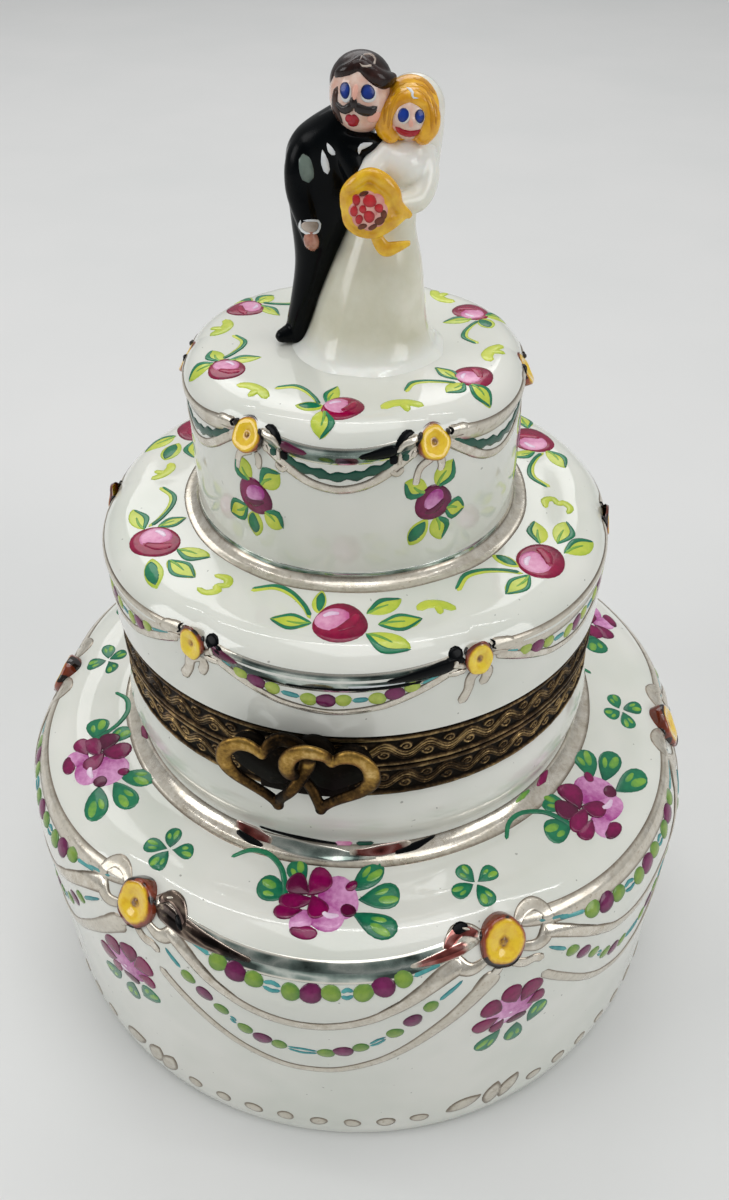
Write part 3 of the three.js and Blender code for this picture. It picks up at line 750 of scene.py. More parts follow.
@dataclass(frozen=True)
class TierSkin:
    """The outer skin of one tier. A place on it is an angle round the axis and a length up from where
    the shoulder starts: below zero is the wall, then the shoulder, the flat top and the cove of the
    next wall. A drape lies over it with six scalloped swags."""

    radius: float
    top: float
    shoulder: float
    dome: float
    pinch: float
    phase: float
    inner: float
    cove: float
    edge_low: float
    edge_high: float
    relief: float = 0.3
    lip: float = 0.7
    swags: int = 6

    @property
    def arc(self) -> float:
        """Length over the shoulder."""
        return self.shoulder * pi / 2

    @property
    def flat(self) -> float:
        """Length of the flat top."""
        return self.radius - self.shoulder - self.inner - self.cove

    @property
    def swag_angle(self) -> float:
        """Angle from one rosette to the next."""
        return TURN / self.swags

    def share(self, angle: Array) -> Array:
        """Distance from the middle of the swag: 0 there and 1 at a rosette."""
        turns = (np.asarray(angle, float) - self.phase) / self.swag_angle
        return 2 * np.abs(turns - np.round(turns))

    def edge(self, angle: Array) -> Array:
        """Place of the drape's scalloped edge."""
        return self.edge_low + (self.edge_high - self.edge_low) * self.share(angle) ** 2

    def section(self, angle: Array, up: Array) -> Row:
        """Finds radius and height of places on the skin.

        Args:
            angle: angles round the axis.
            up: places up the wall or over the top.
        Returns:
            Radius and height of each.
        """
        angle, up = np.broadcast_arrays(np.asarray(angle, float), np.asarray(up, float))
        run = np.clip(up - self.arc, 0, max(self.flat, 1e-6))
        pinch = self.pinch * self.share(angle) ** 3 * smooth(-5.0, 1.0, up)
        pinch = pinch * (1 - run / max(self.flat, 1e-6))
        edge = self.edge(angle)
        sink = self.relief * (1 - smooth(edge - self.lip, edge, up))
        turn = np.clip(up, 0, self.arc) / self.shoulder
        radius = self.radius - pinch - self.shoulder + (self.shoulder - sink) * np.cos(turn) - run
        height = self.top - self.shoulder + (self.shoulder - sink) * np.sin(turn) + np.minimum(up, 0)
        height = height + self.dome * smooth(0, max(self.flat, 1e-6), run)
        if self.cove:
            past = up - self.arc - self.flat
            bend = np.clip(past, 0, self.cove * pi / 2) / self.cove
            radius = np.where(past > 0, self.inner + self.cove * (1 - np.sin(bend)), radius)
            height = np.where(past > 0, self.top + self.dome + self.cove * (1 - np.cos(bend)), height)
        return radius, height

    def at(self, angle: Array, up: Array, lift: Array) -> Array:
        """Finds points above the skin.

        Args:
            angle: angles round the axis.
            up: places up the wall or over the top.
            lift: heights along the skin's normal.
        Returns:
            The points.
        """
        angle, up, lift = np.broadcast_arrays(angle, up, lift)
        step = 0.02

        def point(a: Array, u: Array) -> Array:
            """A point on the skin."""
            r, z = self.section(a, u)
            return np.stack([r * np.sin(a), -r * np.cos(a), z], axis=-1)

        here = point(angle, up)
        across = point(angle + step / self.radius, up) - point(angle - step / self.radius, up)
        along = point(angle, up + step) - point(angle, up - step)
        normal = np.cross(across, along)
        normal /= np.linalg.norm(normal, axis=-1, keepdims=True) + 1e-12
        return here + normal * lift[..., None]

    def up_at_height(self, height: float) -> float:
        """Place up the wall at a height."""
        return height - (self.top - self.shoulder)

    def up_at_radius(self, radius: float) -> float:
        """Place on the flat top at a radius."""
        return self.arc + self.radius - self.shoulder - radius

    def rows(self, start: float, angles: Array) -> list[Row]:
        """Rows over the skin, packed closely over the drape's edge.

        Args:
            start: place on the wall of the first row.
            angles: angles round the axis.
        Returns:
            Rows of radius and height.
        """
        edge = self.edge(angles)
        low = edge - self.lip
        top = self.arc + self.flat
        rows = [start + (low - start) * t for t in np.linspace(0, 1, 22)]
        rows += [low + self.lip * t for t in np.linspace(0.08, 1, 9)]
        rows += [edge + (self.arc - edge) * t for t in np.linspace(0.1, 1, 12)]
        rows += list(np.linspace(self.arc, top, 10)[1:])
        if self.cove:
            rows += list(np.linspace(top, top + self.cove * pi / 2, 8)[1:])
        return [self.section(angles, row) for row in rows]


class Ground(Protocol):
    """Something that paint can be laid on, in flat millimetres from an anchor."""

    def lay(self, x: Array, y: Array, lift: Array) -> Array:
        """Points above the surface."""
        ...


@dataclass(frozen=True)
class TierGround:
    """A spot on a tier: x runs round it, y up the wall or inward over the top."""

    skin: TierSkin
    angle: float
    up: float = 0.0
    turn: float = 0.0
    size: float = 1.0
    reach: Optional[float] = None

    def lay(self, x: Array, y: Array, lift: Array) -> Array:
        """Points above the tier.

        Args:
            x: places to the right of the spot.
            y: places up from it.
            lift: heights above it.
        Returns:
            The points.
        """
        c, s = cos(self.turn) * self.size, sin(self.turn) * self.size
        across, along = x * c - y * s, x * s + y * c
        around = self.reach or float(self.skin.section(np.array(self.angle), np.array(self.up))[0])
        return self.skin.at(self.angle + across / around, self.up + along, lift)


@dataclass(frozen=True)
class HeadGround:
    """A spot on an egg shaped head, in the couple's frame: x runs round it, y up it."""

    centre: Point3
    radii: Point3
    place: Matrix
    turn: float = 0.0
    rise: float = 0.0

    def local(self, turn: Array, rise: Array, lift: Array) -> Array:
        """Finds points over the head.

        Args:
            turn: angles round from its face.
            rise: angles up from its face.
            lift: heights above it.
        Returns:
            The points, in the couple's frame.
        """
        direction = np.stack([np.sin(turn) * np.cos(rise), -np.cos(turn) * np.cos(rise), np.sin(rise)],
                             axis=-1)
        return np.asarray(self.centre) + direction * (np.asarray(self.radii) + np.asarray(lift)[..., None])

    def lay(self, x: Array, y: Array, lift: Array) -> Array:
        """Points above the head.

        Args:
            x: places to the right of the spot.
            y: places up from it.
            lift: heights above it.
        Returns:
            The points.
        """
        radius = float(np.mean(self.radii))
        rise = self.rise + y / radius
        turn = self.turn + x / radius / np.maximum(np.cos(rise), 0.2)
        return moved(self.local(turn, rise, np.broadcast_to(lift, np.shape(rise))), self.place)


@dataclass(frozen=True)
class CastGround:
    """Any shape that paint is thrown onto along a direction: x runs to the right of it, y up."""

    tree: BVHTree
    centre: Point3
    aim: Point3
    place: Matrix
    throw: float = 12.0

    def lay(self, x: Array, y: Array, lift: Array) -> Array:
        """Points above the shape.

        Args:
            x: places to the right of the spot.
            y: places up from it.
            lift: heights above it.
        Returns:
            The points.
        """
        aim = Vector(self.aim).normalized()
        right = aim.cross(Vector((0, 0, 1))).normalized()
        up = right.cross(aim).normalized()
        points = []
        for a, b, h in zip(*[np.ravel(v) for v in np.broadcast_arrays(x, y, lift)]):
            start = Vector(self.centre) + right * float(a) + up * float(b) - aim * self.throw
            hit, normal, _face, _far = self.tree.ray_cast(start, aim, self.throw * 3)
            if hit is None:
                hit, normal, _face, _far = self.tree.find_nearest(start + aim * self.throw)
            points.append(hit + normal * float(h))
        return moved(np.array(points), self.place)


def moved(points: Array, place: Matrix) -> Array:
    """Moves points by a matrix.

    Args:
        points: the points.
        place: the matrix.
    Returns:
        The moved points.
    """
    matrix = np.array(place)
    shape = np.shape(points)
    flat = np.reshape(points, (-1, 3))
    return (flat @ matrix[:3, :3].T + matrix[:3, 3]).reshape(shape)


class Outline(Enum):
    """The shape of a dab of paint."""

    OVAL = "oval"
    LEAF = "leaf"
    PETAL = "petal"


class Paint:
    """Strokes and dabs of one finish, gathered into one thin domed mesh."""

    SECTION_MM = 0.22
    MOST_SECTIONS = 90

    def __init__(self, name: str, finish: Finish, body: Body, slot: Slot = Slot.PORCELAIN) -> None:
        """Starts without any paint.

        Args:
            name: name of its piece.
            finish: its finish.
            body: the body it rides on.
            slot: the record's slot, kept but not used.
        """
        self.name, self.finish, self.body, self.slot = name, finish, body, slot
        self.points: list[Array] = []
        self.tones: list[Array] = []
        self.faces: list[tuple] = []
        self.count = 0
        self.random = random.Random(name)

    def keep(self, points: Array, tones: Array, faces: list[tuple]) -> None:
        """Adds some faces with their points and tones.

        Args:
            points: points of the faces.
            tones: tone of each.
            faces: the faces.
        """
        self.points.append(points.reshape(-1, 3))
        self.tones.append(tones.reshape(-1, 3))
        self.faces += faces
        self.count += len(self.points[-1])

    def stroke(
        self,
        ground: Ground,
        path: Sequence[Point2],
        widths: Sequence[float],
        lift: float = 0.02,
        dome: float = 0.04,
        sink: float = 0.03,
        steps: Optional[int] = None,
    ) -> None:
        """Draws a brush stroke with round ends.

        Args:
            ground: where it lies.
            path: what its middle line passes through, in millimetres from the ground's anchor.
            widths: its width at the path's points.
            lift: height of its edges above the ground.
            dome: how much its middle stands over its edges.
            sink: how far its rim is tucked under the ground.
            steps: how many sections it has.
        """
        rough = spline(path, 24)
        length = float(np.sum(np.linalg.norm(np.diff(rough, axis=0), axis=1)))
        count = steps or max(8, min(self.MOST_SECTIONS, int(length / self.SECTION_MM)))
        line = spline(path, count)
        along = np.gradient(line, axis=0)
        along /= np.linalg.norm(along, axis=1, keepdims=True) + 1e-9
        side = np.stack([-along[:, 1], along[:, 0]], axis=1)
        share = np.linspace(0, 1, count)
        full = np.interp(share, np.linspace(0, 1, len(widths)), widths)
        end = np.minimum(share, 1 - share) * length
        half = np.maximum(full / 2, 0.02)
        width = full * np.sqrt(np.clip(1 - (1 - np.clip(end / half, 0, 1)) ** 2, 0.02, 1))
        across = np.array([-1.0, -0.86, -0.5, 0.0, 0.5, 0.86, 1.0])
        heights = lift + dome * (1 - across**2)
        heights[[0, -1]] = -sink
        x = line[:, :1] + side[:, :1] * across * width[:, None] / 2
        y = line[:, 1:] + side[:, 1:] * across * width[:, None] / 2
        rounded = np.minimum(1, width / np.maximum(full, 1e-6))
        lifts = np.where(np.abs(across) < 1, heights * rounded[:, None], heights)
        points = ground.lay(x, y, lifts)
        levels = np.broadcast_arrays(np.abs(across), self.random.random(), share[:, None])
        faces = grid_faces(count, len(across), False, start=self.count)
        first, last = self.count, self.count + (count - 1) * len(across)
        faces.append(tuple(first + k for k in range(len(across))))
        faces.append(tuple(last + k for k in reversed(range(len(across)))))
        self.keep(points, np.stack(levels, axis=-1), faces)

    def dab(
        self,
        ground: Ground,
        centre: Point2,
        size: Point2,
        turn: float = 0.0,
        lift: float = 0.02,
        dome: float = 0.05,
        outline: Outline = Outline.OVAL,
        sink: float = 0.03,
        sides: int = 20,
    ) -> None:
        """Lays a single dab of the brush.

        Args:
            ground: where it lies.
            centre: its middle, in millimetres from the ground's anchor.
            size: half its length and half its width.
            turn: the angle of its length from x, in degrees. A petal's point is at its far end.
            lift: height of its edge above the ground.
            dome: how much its middle stands over its edge.
            outline: its shape.
            sink: how far its rim is tucked under the ground.
            sides: how many sides it has.
        """
        angle = np.linspace(0, TURN, sides, endpoint=False)
        wobble = 1 + 0.05 * np.sin(2 * angle + self.random.random() * TURN)
        wobble = wobble + 0.03 * np.sin(3 * angle + self.random.random() * TURN)
        x, y = np.cos(angle), np.sin(angle)
        if outline is Outline.LEAF:
            y = y * np.abs(np.sin(angle)) ** 0.55
        elif outline is Outline.PETAL:
            y = y * ((1 - np.cos(angle)) / 2) ** 0.5 * 1.25
        x, y = x * wobble * size[0], y * wobble * size[1]
        c, s = compass(turn)
        shares = np.array([0.0, 0.45, 0.8, 0.95, 1.0])
        heights = lift + dome * (1 - shares**2)
        heights[-1] = -sink
        across = shares[:, None] * (x * c - y * s) + centre[0]
        along = shares[:, None] * (x * s + y * c) + centre[1]
        lifts = np.broadcast_to(heights[:, None], across.shape)
        points = ground.lay(across, along, lifts).reshape(len(shares), sides, 3)
        start_share = np.clip(0.5 + 0.5 * shares[:, None] * np.cos(angle), 0, 1)
        levels = np.broadcast_arrays(shares[:, None], self.random.random(), start_share)
        self.keep(points, np.stack(levels, axis=-1), grid_faces(len(shares), sides, True, start=self.count))

    def patch(self, points: Array, tones: Array) -> None:
        """Adds a closed belt given as rows of points, with their tones."""
        self.keep(points, tones, grid_faces(points.shape[0], points.shape[1], True, start=self.count))

    def piece(self) -> bpy.types.Object:
        """Makes the gathered paint into one piece."""
        points, tones = np.vstack(self.points), np.vstack(self.tones)
        return make_piece(self.name, points, self.faces, self.finish, self.body, tones)


class Studio:
    """Hands out the paint of an area, one mesh for each finish."""

    def __init__(self, area: str, body: Body, slot: Slot = Slot.PORCELAIN) -> None:
        """Starts without any paints."""
        self.area, self.body, self.slot = area, body, slot
        self.paints: dict[str, Paint] = {}

    def __call__(self, finish: Finish) -> Paint:
        """Gives the area's paint of a finish.

        Args:
            finish: the finish.
        Returns:
            The paint.
        """
        if finish.name not in self.paints:
            self.paints[finish.name] = Paint(f"{self.area}_{finish.name}", finish, self.body, self.slot)
        return self.paints[finish.name]

    def pieces(self) -> None:
        """Makes every paint into its piece."""
        for paint in self.paints.values():
            paint.piece()


# Sizes shared by the pieces, in millimetres


@dataclass(frozen=True)
class BoxSizes:
    """Sizes of the box that its pieces share. They are those of the solids."""

    base: TierSkin = TierSkin(31.45, 27.6, 5.6, 0.6, 0.7, radians(3.5), 20.1, 1.5, 4.4, 5.5)
    mid: TierSkin = TierSkin(20.8, 49.62, 2.8, 0.2, 0.45, radians(5.9), 12.55, 0.9, 0.8, 1.4)
    top: TierSkin = TierSkin(12.85, 62.42, 2.3, 0.0, 0.3, radians(5.9), 0.0, 0.0, 0.4, 1.3)
    neck: float = 20.1
    seat: float = 19.7
    mouth: float = 17.7
    band: float = 20.25
    band_height: float = 3.1
    band_wall: float = 0.45
    rib: float = 0.15
    rib_height: float = 0.45
    flange: float = 0.4
    base_band_low: float = 35.3
    lid_band_low: float = 38.52
    split: float = 38.46
    hinge_y: float = 21.65
    figure_turn: float = radians(10.8)
    figure_foot: float = 62.52


SIZES = BoxSizes()


# Modelled shapes


@dataclass
class Lump:
    """An egg shaped lump of clay."""

    centre: Point3
    radii: Point3


class Modelled:
    """A figure's part modelled from lumps, tapered limbs and lofts, fused and smoothed as slip does."""

    def __init__(self, name: str, place: Matrix, voxel: float = 0.13, passes: int = 10) -> None:
        """Starts without any clay, with the size of its grain and the passes that smooth it.

        Args:
            name: name of the piece.
            place: where its frame stands.
            voxel: size of the clay's grain.
            passes: how often it is smoothed.
        """
        self.name, self.place, self.voxel, self.passes = name, place, voxel, passes
        self.points: list[tuple] = []
        self.faces: list[tuple] = []

    def lump(self, lump: Lump) -> None:
        """Adds a lump.

        Args:
            lump: the lump.
        """
        rows, columns = 14, 20
        start = len(self.points)
        wide, deep, tall = lump.radii
        for i in range(rows):
            rise = pi * (i + 0.5) / rows - pi / 2
            for j in range(columns):
                around = TURN * j / columns
                x, y = wide * cos(rise) * cos(around), deep * cos(rise) * sin(around)
                self.points.append(tuple(Vector(lump.centre) + Vector((x, y, tall * sin(rise)))))
        self.faces += grid_faces(rows, columns, True, start=start) + end_caps(start, rows, columns)

    def limb(self, stations: Sequence[Sequence[float]], flat: float = 1.0) -> None:
        """Adds a limb through stations of x, y, z and radius."""
        for x, y, z, radius in spline(stations, 10 * (len(stations) - 1)):
            self.lump(Lump((x, y, z), (radius, radius * flat, radius)))

    def loft(
        self, stations: Sequence[Sequence[float]], ripple: Optional[Callable[[float, float], float]] = None
    ) -> None:
        """Adds a loft.

        Args:
            stations: x, y, z, half width and half depth of the sections it passes through.
            ripple: share by which it swells at a height and an angle.
        """
        rows, columns = 48, 56
        start = len(self.points)
        for x, y, z, wide, deep in spline(stations, rows):
            for j in range(columns):
                around = TURN * j / columns
                swell = 1 + (ripple(z, around) if ripple else 0.0)
                self.points.append((x + wide * swell * sin(around), y - deep * swell * cos(around), z))
        self.faces += grid_faces(rows, columns, True, start=start) + end_caps(start, rows, columns)

    def fuse(
        self, finish: Finish, body: Body, slot: Slot, nodes: Sequence[str],
        tone: Optional[Callable[[Array, Array], Array]] = None,
    ) -> tuple[bpy.types.Object, BVHTree]:
        """Fuses what was added into one smooth piece.

        Args:
            finish: its finish.
            body: the body it rides on.
            slot: not used.
            nodes: the solids that it stands for.
            tone: gives the finish its red tone from points and normals.
        Returns:
            The piece, and a search tree of its surface in the couple's frame.
        """
        mesh = bpy.data.meshes.new(self.name + "_raw")
        mesh.from_pydata(self.points, [], self.faces)
        raw = bpy.data.objects.new(self.name + "_raw", mesh)
        bpy.context.scene.collection.objects.link(raw)
        remesh = raw.modifiers.new("fuse", "REMESH")
        remesh.mode, remesh.voxel_size, remesh.use_smooth_shade = "VOXEL", self.voxel, True
        soften = raw.modifiers.new("soften", "SMOOTH")
        soften.factor, soften.iterations = 0.5, self.passes
        bpy.context.view_layer.update()
        fused = bpy.data.meshes.new_from_object(raw.evaluated_get(bpy.context.evaluated_depsgraph_get()))
        bpy.data.objects.remove(raw)
        points = np.empty(len(fused.vertices) * 3)
        fused.vertices.foreach_get("co", points)
        points = points.reshape(-1, 3)
        faces = [tuple(polygon.vertices) for polygon in fused.polygons]
        tree = BVHTree.FromPolygons([Vector(p) for p in points], faces)
        tones = None
        if tone:
            normals = np.empty(len(fused.vertices) * 3)
            fused.vertices.foreach_get("normal", normals)
            tones = red_tones(tone(points, normals.reshape(-1, 3)))
        piece = make_piece(self.name, moved(points, self.place), faces, finish, body, tones)
        if nodes:
            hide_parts(*nodes)
        return piece, tree


# The porcelain


@dataclass
class PorcelainShell:
    """A cast shell, turned from rows of radius and height."""

    name: str
    node: str
    body: Body
    around: int = 432

    def build(self, rows: Callable[[Array], list[Row]]) -> bpy.types.Object:
        """Makes the shell and lets it stand for its node.

        Args:
            rows: gives the rows of radius and height at some angles.
        Returns:
            The shell.
        """
        angles = np.linspace(0, TURN, self.around, endpoint=False)
        sections = rows(angles)
        points = revolve(sections, angles)
        faces = grid_faces(len(sections), self.around, True) + end_caps(0, len(sections), self.around)
        piece = make_piece(self.name, points, faces, PORCELAIN, self.body, crease=38)
        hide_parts(self.node)
        return piece


class Porcelain:
    """The two porcelain castings."""

    def __init__(self, sizes: BoxSizes) -> None:
        """Keeps the sizes of the box."""
        self.sizes = sizes

    def base_rows(self, angles: Array) -> list[Row]:
        """Rows of the base from the middle of its underside, over the outside and in through the neck.

        Args:
            angles: angles round the axis.
        Returns:
            The rows.
        """
        s = self.sizes
        foot = [(0.02, 0.8), (10.0, 0.8), (20.0, 0.8), (26.4, 0.8), (27.0, 0.65), (27.5, 0.1), (27.75, 0.0),
                (29.7, 0.0)]
        foot += fan((29.9, 1.0), 1.0, -82, 0, 6)
        tier = s.base.rows(s.base.up_at_height(1.3), angles)
        tier[0] = (31.0, 1.35)
        neck = [(s.neck + 0.12, 30.2), (s.neck + 0.5, 31.4), (s.neck + 0.62, 32.4), (s.neck + 0.4, 33.6),
                (s.neck + 0.1, 34.6), (s.neck, 35.0), (s.neck - 0.1, 35.2), (s.seat, 35.2), (s.seat, 37.85),
                (s.mouth + 0.2, 37.9), (s.mouth, 37.7), (s.mouth, 28.6)]
        inside = fan((s.mouth + 1.6, 28.6), 1.6, 180, 250, 5) + [(22.9, 25.0)]
        inside += fan((22.9, 19.4), 5.6, 85, 0, 8) + [(28.5, 12.0)]
        inside += fan((25.9, 6.0), 2.6, 0, -90, 7) + [(12.0, 3.4), (0.02, 3.4)]
        return foot + tier + neck + inside

    def lid_rows(self, angles: Array) -> list[Row]:
        """Rows of the lid from the middle of its inside, out over its rim and up to the top.

        Args:
            angles: angles round the axis.
        Returns:
            The rows.
        """
        s = self.sizes
        inside = [(0.02, 60.1), (6.0, 60.1)] + fan((7.95, 57.8), 2.3, 75, 0, 6) + [(10.25, 49.4)]
        inside += fan((11.4, 48.5), 1.15, 180, 270, 5) + fan((15.4, 44.5), 2.8, 90, 0, 6)
        inside += [(s.mouth, 41.7), (s.mouth, 39.3), (s.mouth + 0.2, 39.05), (s.seat, 39.05), (s.seat, 41.72)]
        mid = s.mid.rows(s.mid.up_at_height(41.74), angles)
        mid[0] = (s.neck, mid[0][1])
        top = s.top.rows(s.top.up_at_height(51.2), angles)
        return inside + mid + top[:-1] + [(0.02, s.top.top)]

    def build(self) -> None:
        """Makes both castings."""
        base = PorcelainShell("base_porcelain", "base_shell", Body.BASE).build(self.base_rows)
        base.data.materials.append(material_of(BISQUE))
        for face in base.data.polygons:
            face.material_index = int(face.center.z < 0.05 * MM)
        PorcelainShell("lid_porcelain", "lid_shell", Body.LID).build(self.lid_rows)


# The brass


@dataclass
class ChasedBand:
    """A stamped brass band: between two ribs runs a vine of doubled waves with a curl in each
    bend. Its height is also kept as tone, so the metal is dark in the hollows and rubbed on the crests."""

    name: str
    node: str
    body: Body
    low: float
    up: int
    sizes: BoxSizes
    around: int = 1500
    waves: int = 38
    relief: float = 0.15

    def vine(self, along: Array, rise: float) -> Array:
        """Finds how far the pattern stands up.

        Args:
            along: places round the band, in waves.
            rise: place up its field, from -1 to 1.
        Returns:
            The height at each place, from 0 to 1.
        """
        phase = along * TURN
        wave = 0.5 * np.sin(phase)
        slope = np.sqrt(1 + (0.5 * TURN * np.cos(phase) / 3.0) ** 2)
        height = np.zeros_like(along)
        for shift, weight, width in ((0.0, 1.0, 0.1), (0.27, 0.85, 0.075), (-0.27, 0.85, 0.075),
                                     (0.52, 0.6, 0.06)):
            height = np.maximum(height, weight * np.exp(-(((rise - wave - shift) / slope / width) ** 2)))
        for k, side in ((0.25, -1), (0.75, 1)):
            dx = (np.mod(along - k + 0.5, 1.0) - 0.5) * 3.0
            dy = rise - side * 0.38
            far = np.hypot(dx, dy)
            angle = np.arctan2(dy, dx)
            curl = 0.3 + 0.1 * angle / pi * side
            height = np.maximum(height, 0.9 * np.exp(-(((far - curl) / 0.09) ** 2)))
            height = np.maximum(height, 0.85 * np.exp(-((far / 0.13) ** 2)))
        return height

    def height_of(self, rise: float) -> float:
        """Height of a place that is so far from the rim by the flange or, on the base, from the foot."""
        return self.low + (rise if self.up > 0 else self.sizes.band_height - rise)

    def build(self) -> bpy.types.Object:
        """Makes the band.

        Returns:
            The band.
        """
        s = self.sizes
        angles = np.linspace(0, TURN, self.around, endpoint=False)
        field_low, field_high = s.rib_height + 0.06, s.band_height - s.rib_height - 0.06
        rises = np.concatenate([[0.0, 0.06, 0.14, 0.22, 0.3, 0.38, s.rib_height],
                                np.linspace(field_low, field_high, 27)])
        rises = np.concatenate([rises, s.band_height - rises[:7][::-1]])
        rows, tones = [], []
        for rise in rises:
            if field_low <= rise <= field_high:
                place = (rise - (field_low + field_high) / 2) / ((field_high - field_low) / 2) * 1.05
                pattern = self.vine(angles / TURN * self.waves, place)
                radius = s.band - 0.06 + self.relief * pattern
                tone = 0.05 + 0.85 * pattern
            else:
                from_edge = min(rise, s.band_height - rise)
                round_rib = sqrt(max(0.0, 1 - ((from_edge - s.rib_height / 2) / (s.rib_height / 2)) ** 2))
                hammered = 1 + 0.05 * np.sin(angles * 61) + 0.04 * np.sin(angles * 97 + self.low)
                radius = s.band - 0.04 + (s.rib + 0.03) * round_rib * hammered
                tone = 0.06 + 0.62 * round_rib**2 * hammered
            rows.append((radius, self.height_of(rise)))
            tones.append(tone * (0.86 + 0.14 * np.sin(angles * 3 + self.low)))
        inner = s.band - s.band_wall
        under = s.band_height - s.flange
        for radius, rise in ((s.mouth, s.band_height), (s.mouth, under), (inner, under), (inner, 0.0)):
            rows.append((radius, self.height_of(rise)))
            tones.append(0.35)
        if self.up < 0:
            rows.reverse()
            tones.reverse()
        faces = grid_faces(len(rows), self.around, True, joined=True)
        tones = red_tones(spread_rows(tones, angles))
        points = revolve(rows, angles)
        piece = make_piece(self.name, points, faces, BRASS, self.body, tones, 50)
        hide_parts(self.node)
        return piece


@dataclass
class HeartLoop:
    """One open heart of the clasp, cut from thick brass with a worn, slightly hammered face. It dips
    behind its partner at one crossing and rides over it at the other."""

    name: str
    node: str
    side: int
    spread: float
    lean: float
    middle: float
    width: float = 7.2
    height: float = 7.6
    bar: float = 1.05
    thickness: float = 0.6
    weave: float = 0.5
    weave_rise: float = -0.2
    weave_run: float = 0.7
    out: float = 22.3
    steps: int = 180
    plate_front: float = 21.35
    plate_back: float = 20.75
    plate_point: float = -1.9

    def curve(self, share: Array) -> Array:
        """The heart's middle line in its own plane.

        Args:
            share: shares of the way round it, from the notch.
        Returns:
            Places across and up.
        """
        t = TURN * share
        rise = sum(part * np.cos(k * t) for k, part in enumerate((0.09, 0.448, -0.172, -0.069, -0.035)))
        rise = rise + 0.08 * np.exp((np.cos(t) - 1) / 0.045)
        return np.stack([(self.width - self.bar) / 2 * np.sin(t) ** 3, (self.height - self.bar) * rise],
                        axis=-1)

    def place(self, forward: float) -> Matrix:
        """Where the heart's own plane stands, at a distance in front of the axis."""
        turn = Matrix.Rotation(self.side * radians(self.lean), 4, "Y")
        return Matrix.Translation((self.side * self.spread, forward, self.middle)) @ turn

    def tone(self, points: Array, normals: Array) -> Array:
        """Bright on the front face of the lobes, where it is rubbed and where painted light falls, dark on
        the sides and towards the point, with a painted highlight where the brass turns up and, on the left
        heart, a painted shadow where it lies behind its partner.

        Args:
            points: places on the heart.
            normals: which way they face.
        Returns:
            A level for each place.
        """
        face = np.clip(-normals[:, 1], 0, 1) ** 2
        low = 0.5 * (1 - smooth(-1.6, 2.4, points[:, 2]))
        # On the left heart, a painted shadow where it lies behind its partner.
        behind = smooth(-0.2, 0.8, points[:, 0]) * smooth(0.9, 1.6, points[:, 2]) if self.side < 0 else 0.0
        # The term on upward normals is a painted highlight from above.
        return 0.24 + 0.56 * face - low + 0.3 * smooth(0.35, 0.75, normals[:, 2]) - 0.6 * behind

    def build(self) -> bpy.types.Object:
        """Makes the heart.

        Returns:
            The heart.
        """
        share = (np.arange(self.steps) + 0.5) / self.steps
        here = self.curve(share)
        near = smooth(0, self.width / 5, -self.side * here[:, 0])
        upright = np.clip((here[:, 1] - self.weave_rise) / self.weave_run, -1, 1)
        kernel = np.ones(7) / 7
        lift = np.convolve(np.pad(self.weave * near * self.side * upright, 3, mode="wrap"), kernel, "valid")
        wide = self.bar / 2 * (0.84 + 0.4 * smooth(-1.6, 1.6, here[:, 1]))
        wide *= 1 - 0.4 * np.exp(-((here[:, 0] / 0.8) ** 2)) * (here[:, 1] > 0)
        wide *= 1 + 0.012 * np.sin(share * TURN * 9 + self.side)
        clay = Modelled(self.name, self.place(-self.out), 0.055, 3)
        for (x, z), back, half in zip(here, lift, wide):
            clay.lump(Lump((float(x), -float(back), float(z)), (half, self.thickness * 0.56, half)))
        return clay.fuse(HEART_BRASS, Body.LID, Slot.BRIGHT_BRASS, [self.node], self.tone)[0]

    def plate(self, paint: Paint) -> None:
        """Adds the dark plate behind the heart, cut off straight above the heart's point. It is nearly black,
        partly its own blackened brass and partly painted shade of the recess behind the hearts.

        Args:
            paint: the piece that gathers the plates.
        """
        rim = self.curve(np.linspace(0, 1, 72, endpoint=False)) * 0.93
        rim[:, 1] = np.maximum(rim[:, 1], self.plate_point)
        # Nearly black all over: blackened brass and painted shade of the recess.
        points, tones = [], np.full((4, len(rim), 3), 0.03)
        front, back = self.plate_front, self.plate_back
        for depth, share in ((back, 0.02), (back, 1.0), (front, 1.0), (front, 0.02)):
            flat = rim * share
            points.append(np.stack([flat[:, 0], np.zeros(len(rim)), flat[:, 1]], axis=-1) + (0, -depth, 0))
        paint.patch(moved(np.array(points), self.place(0)), tones)


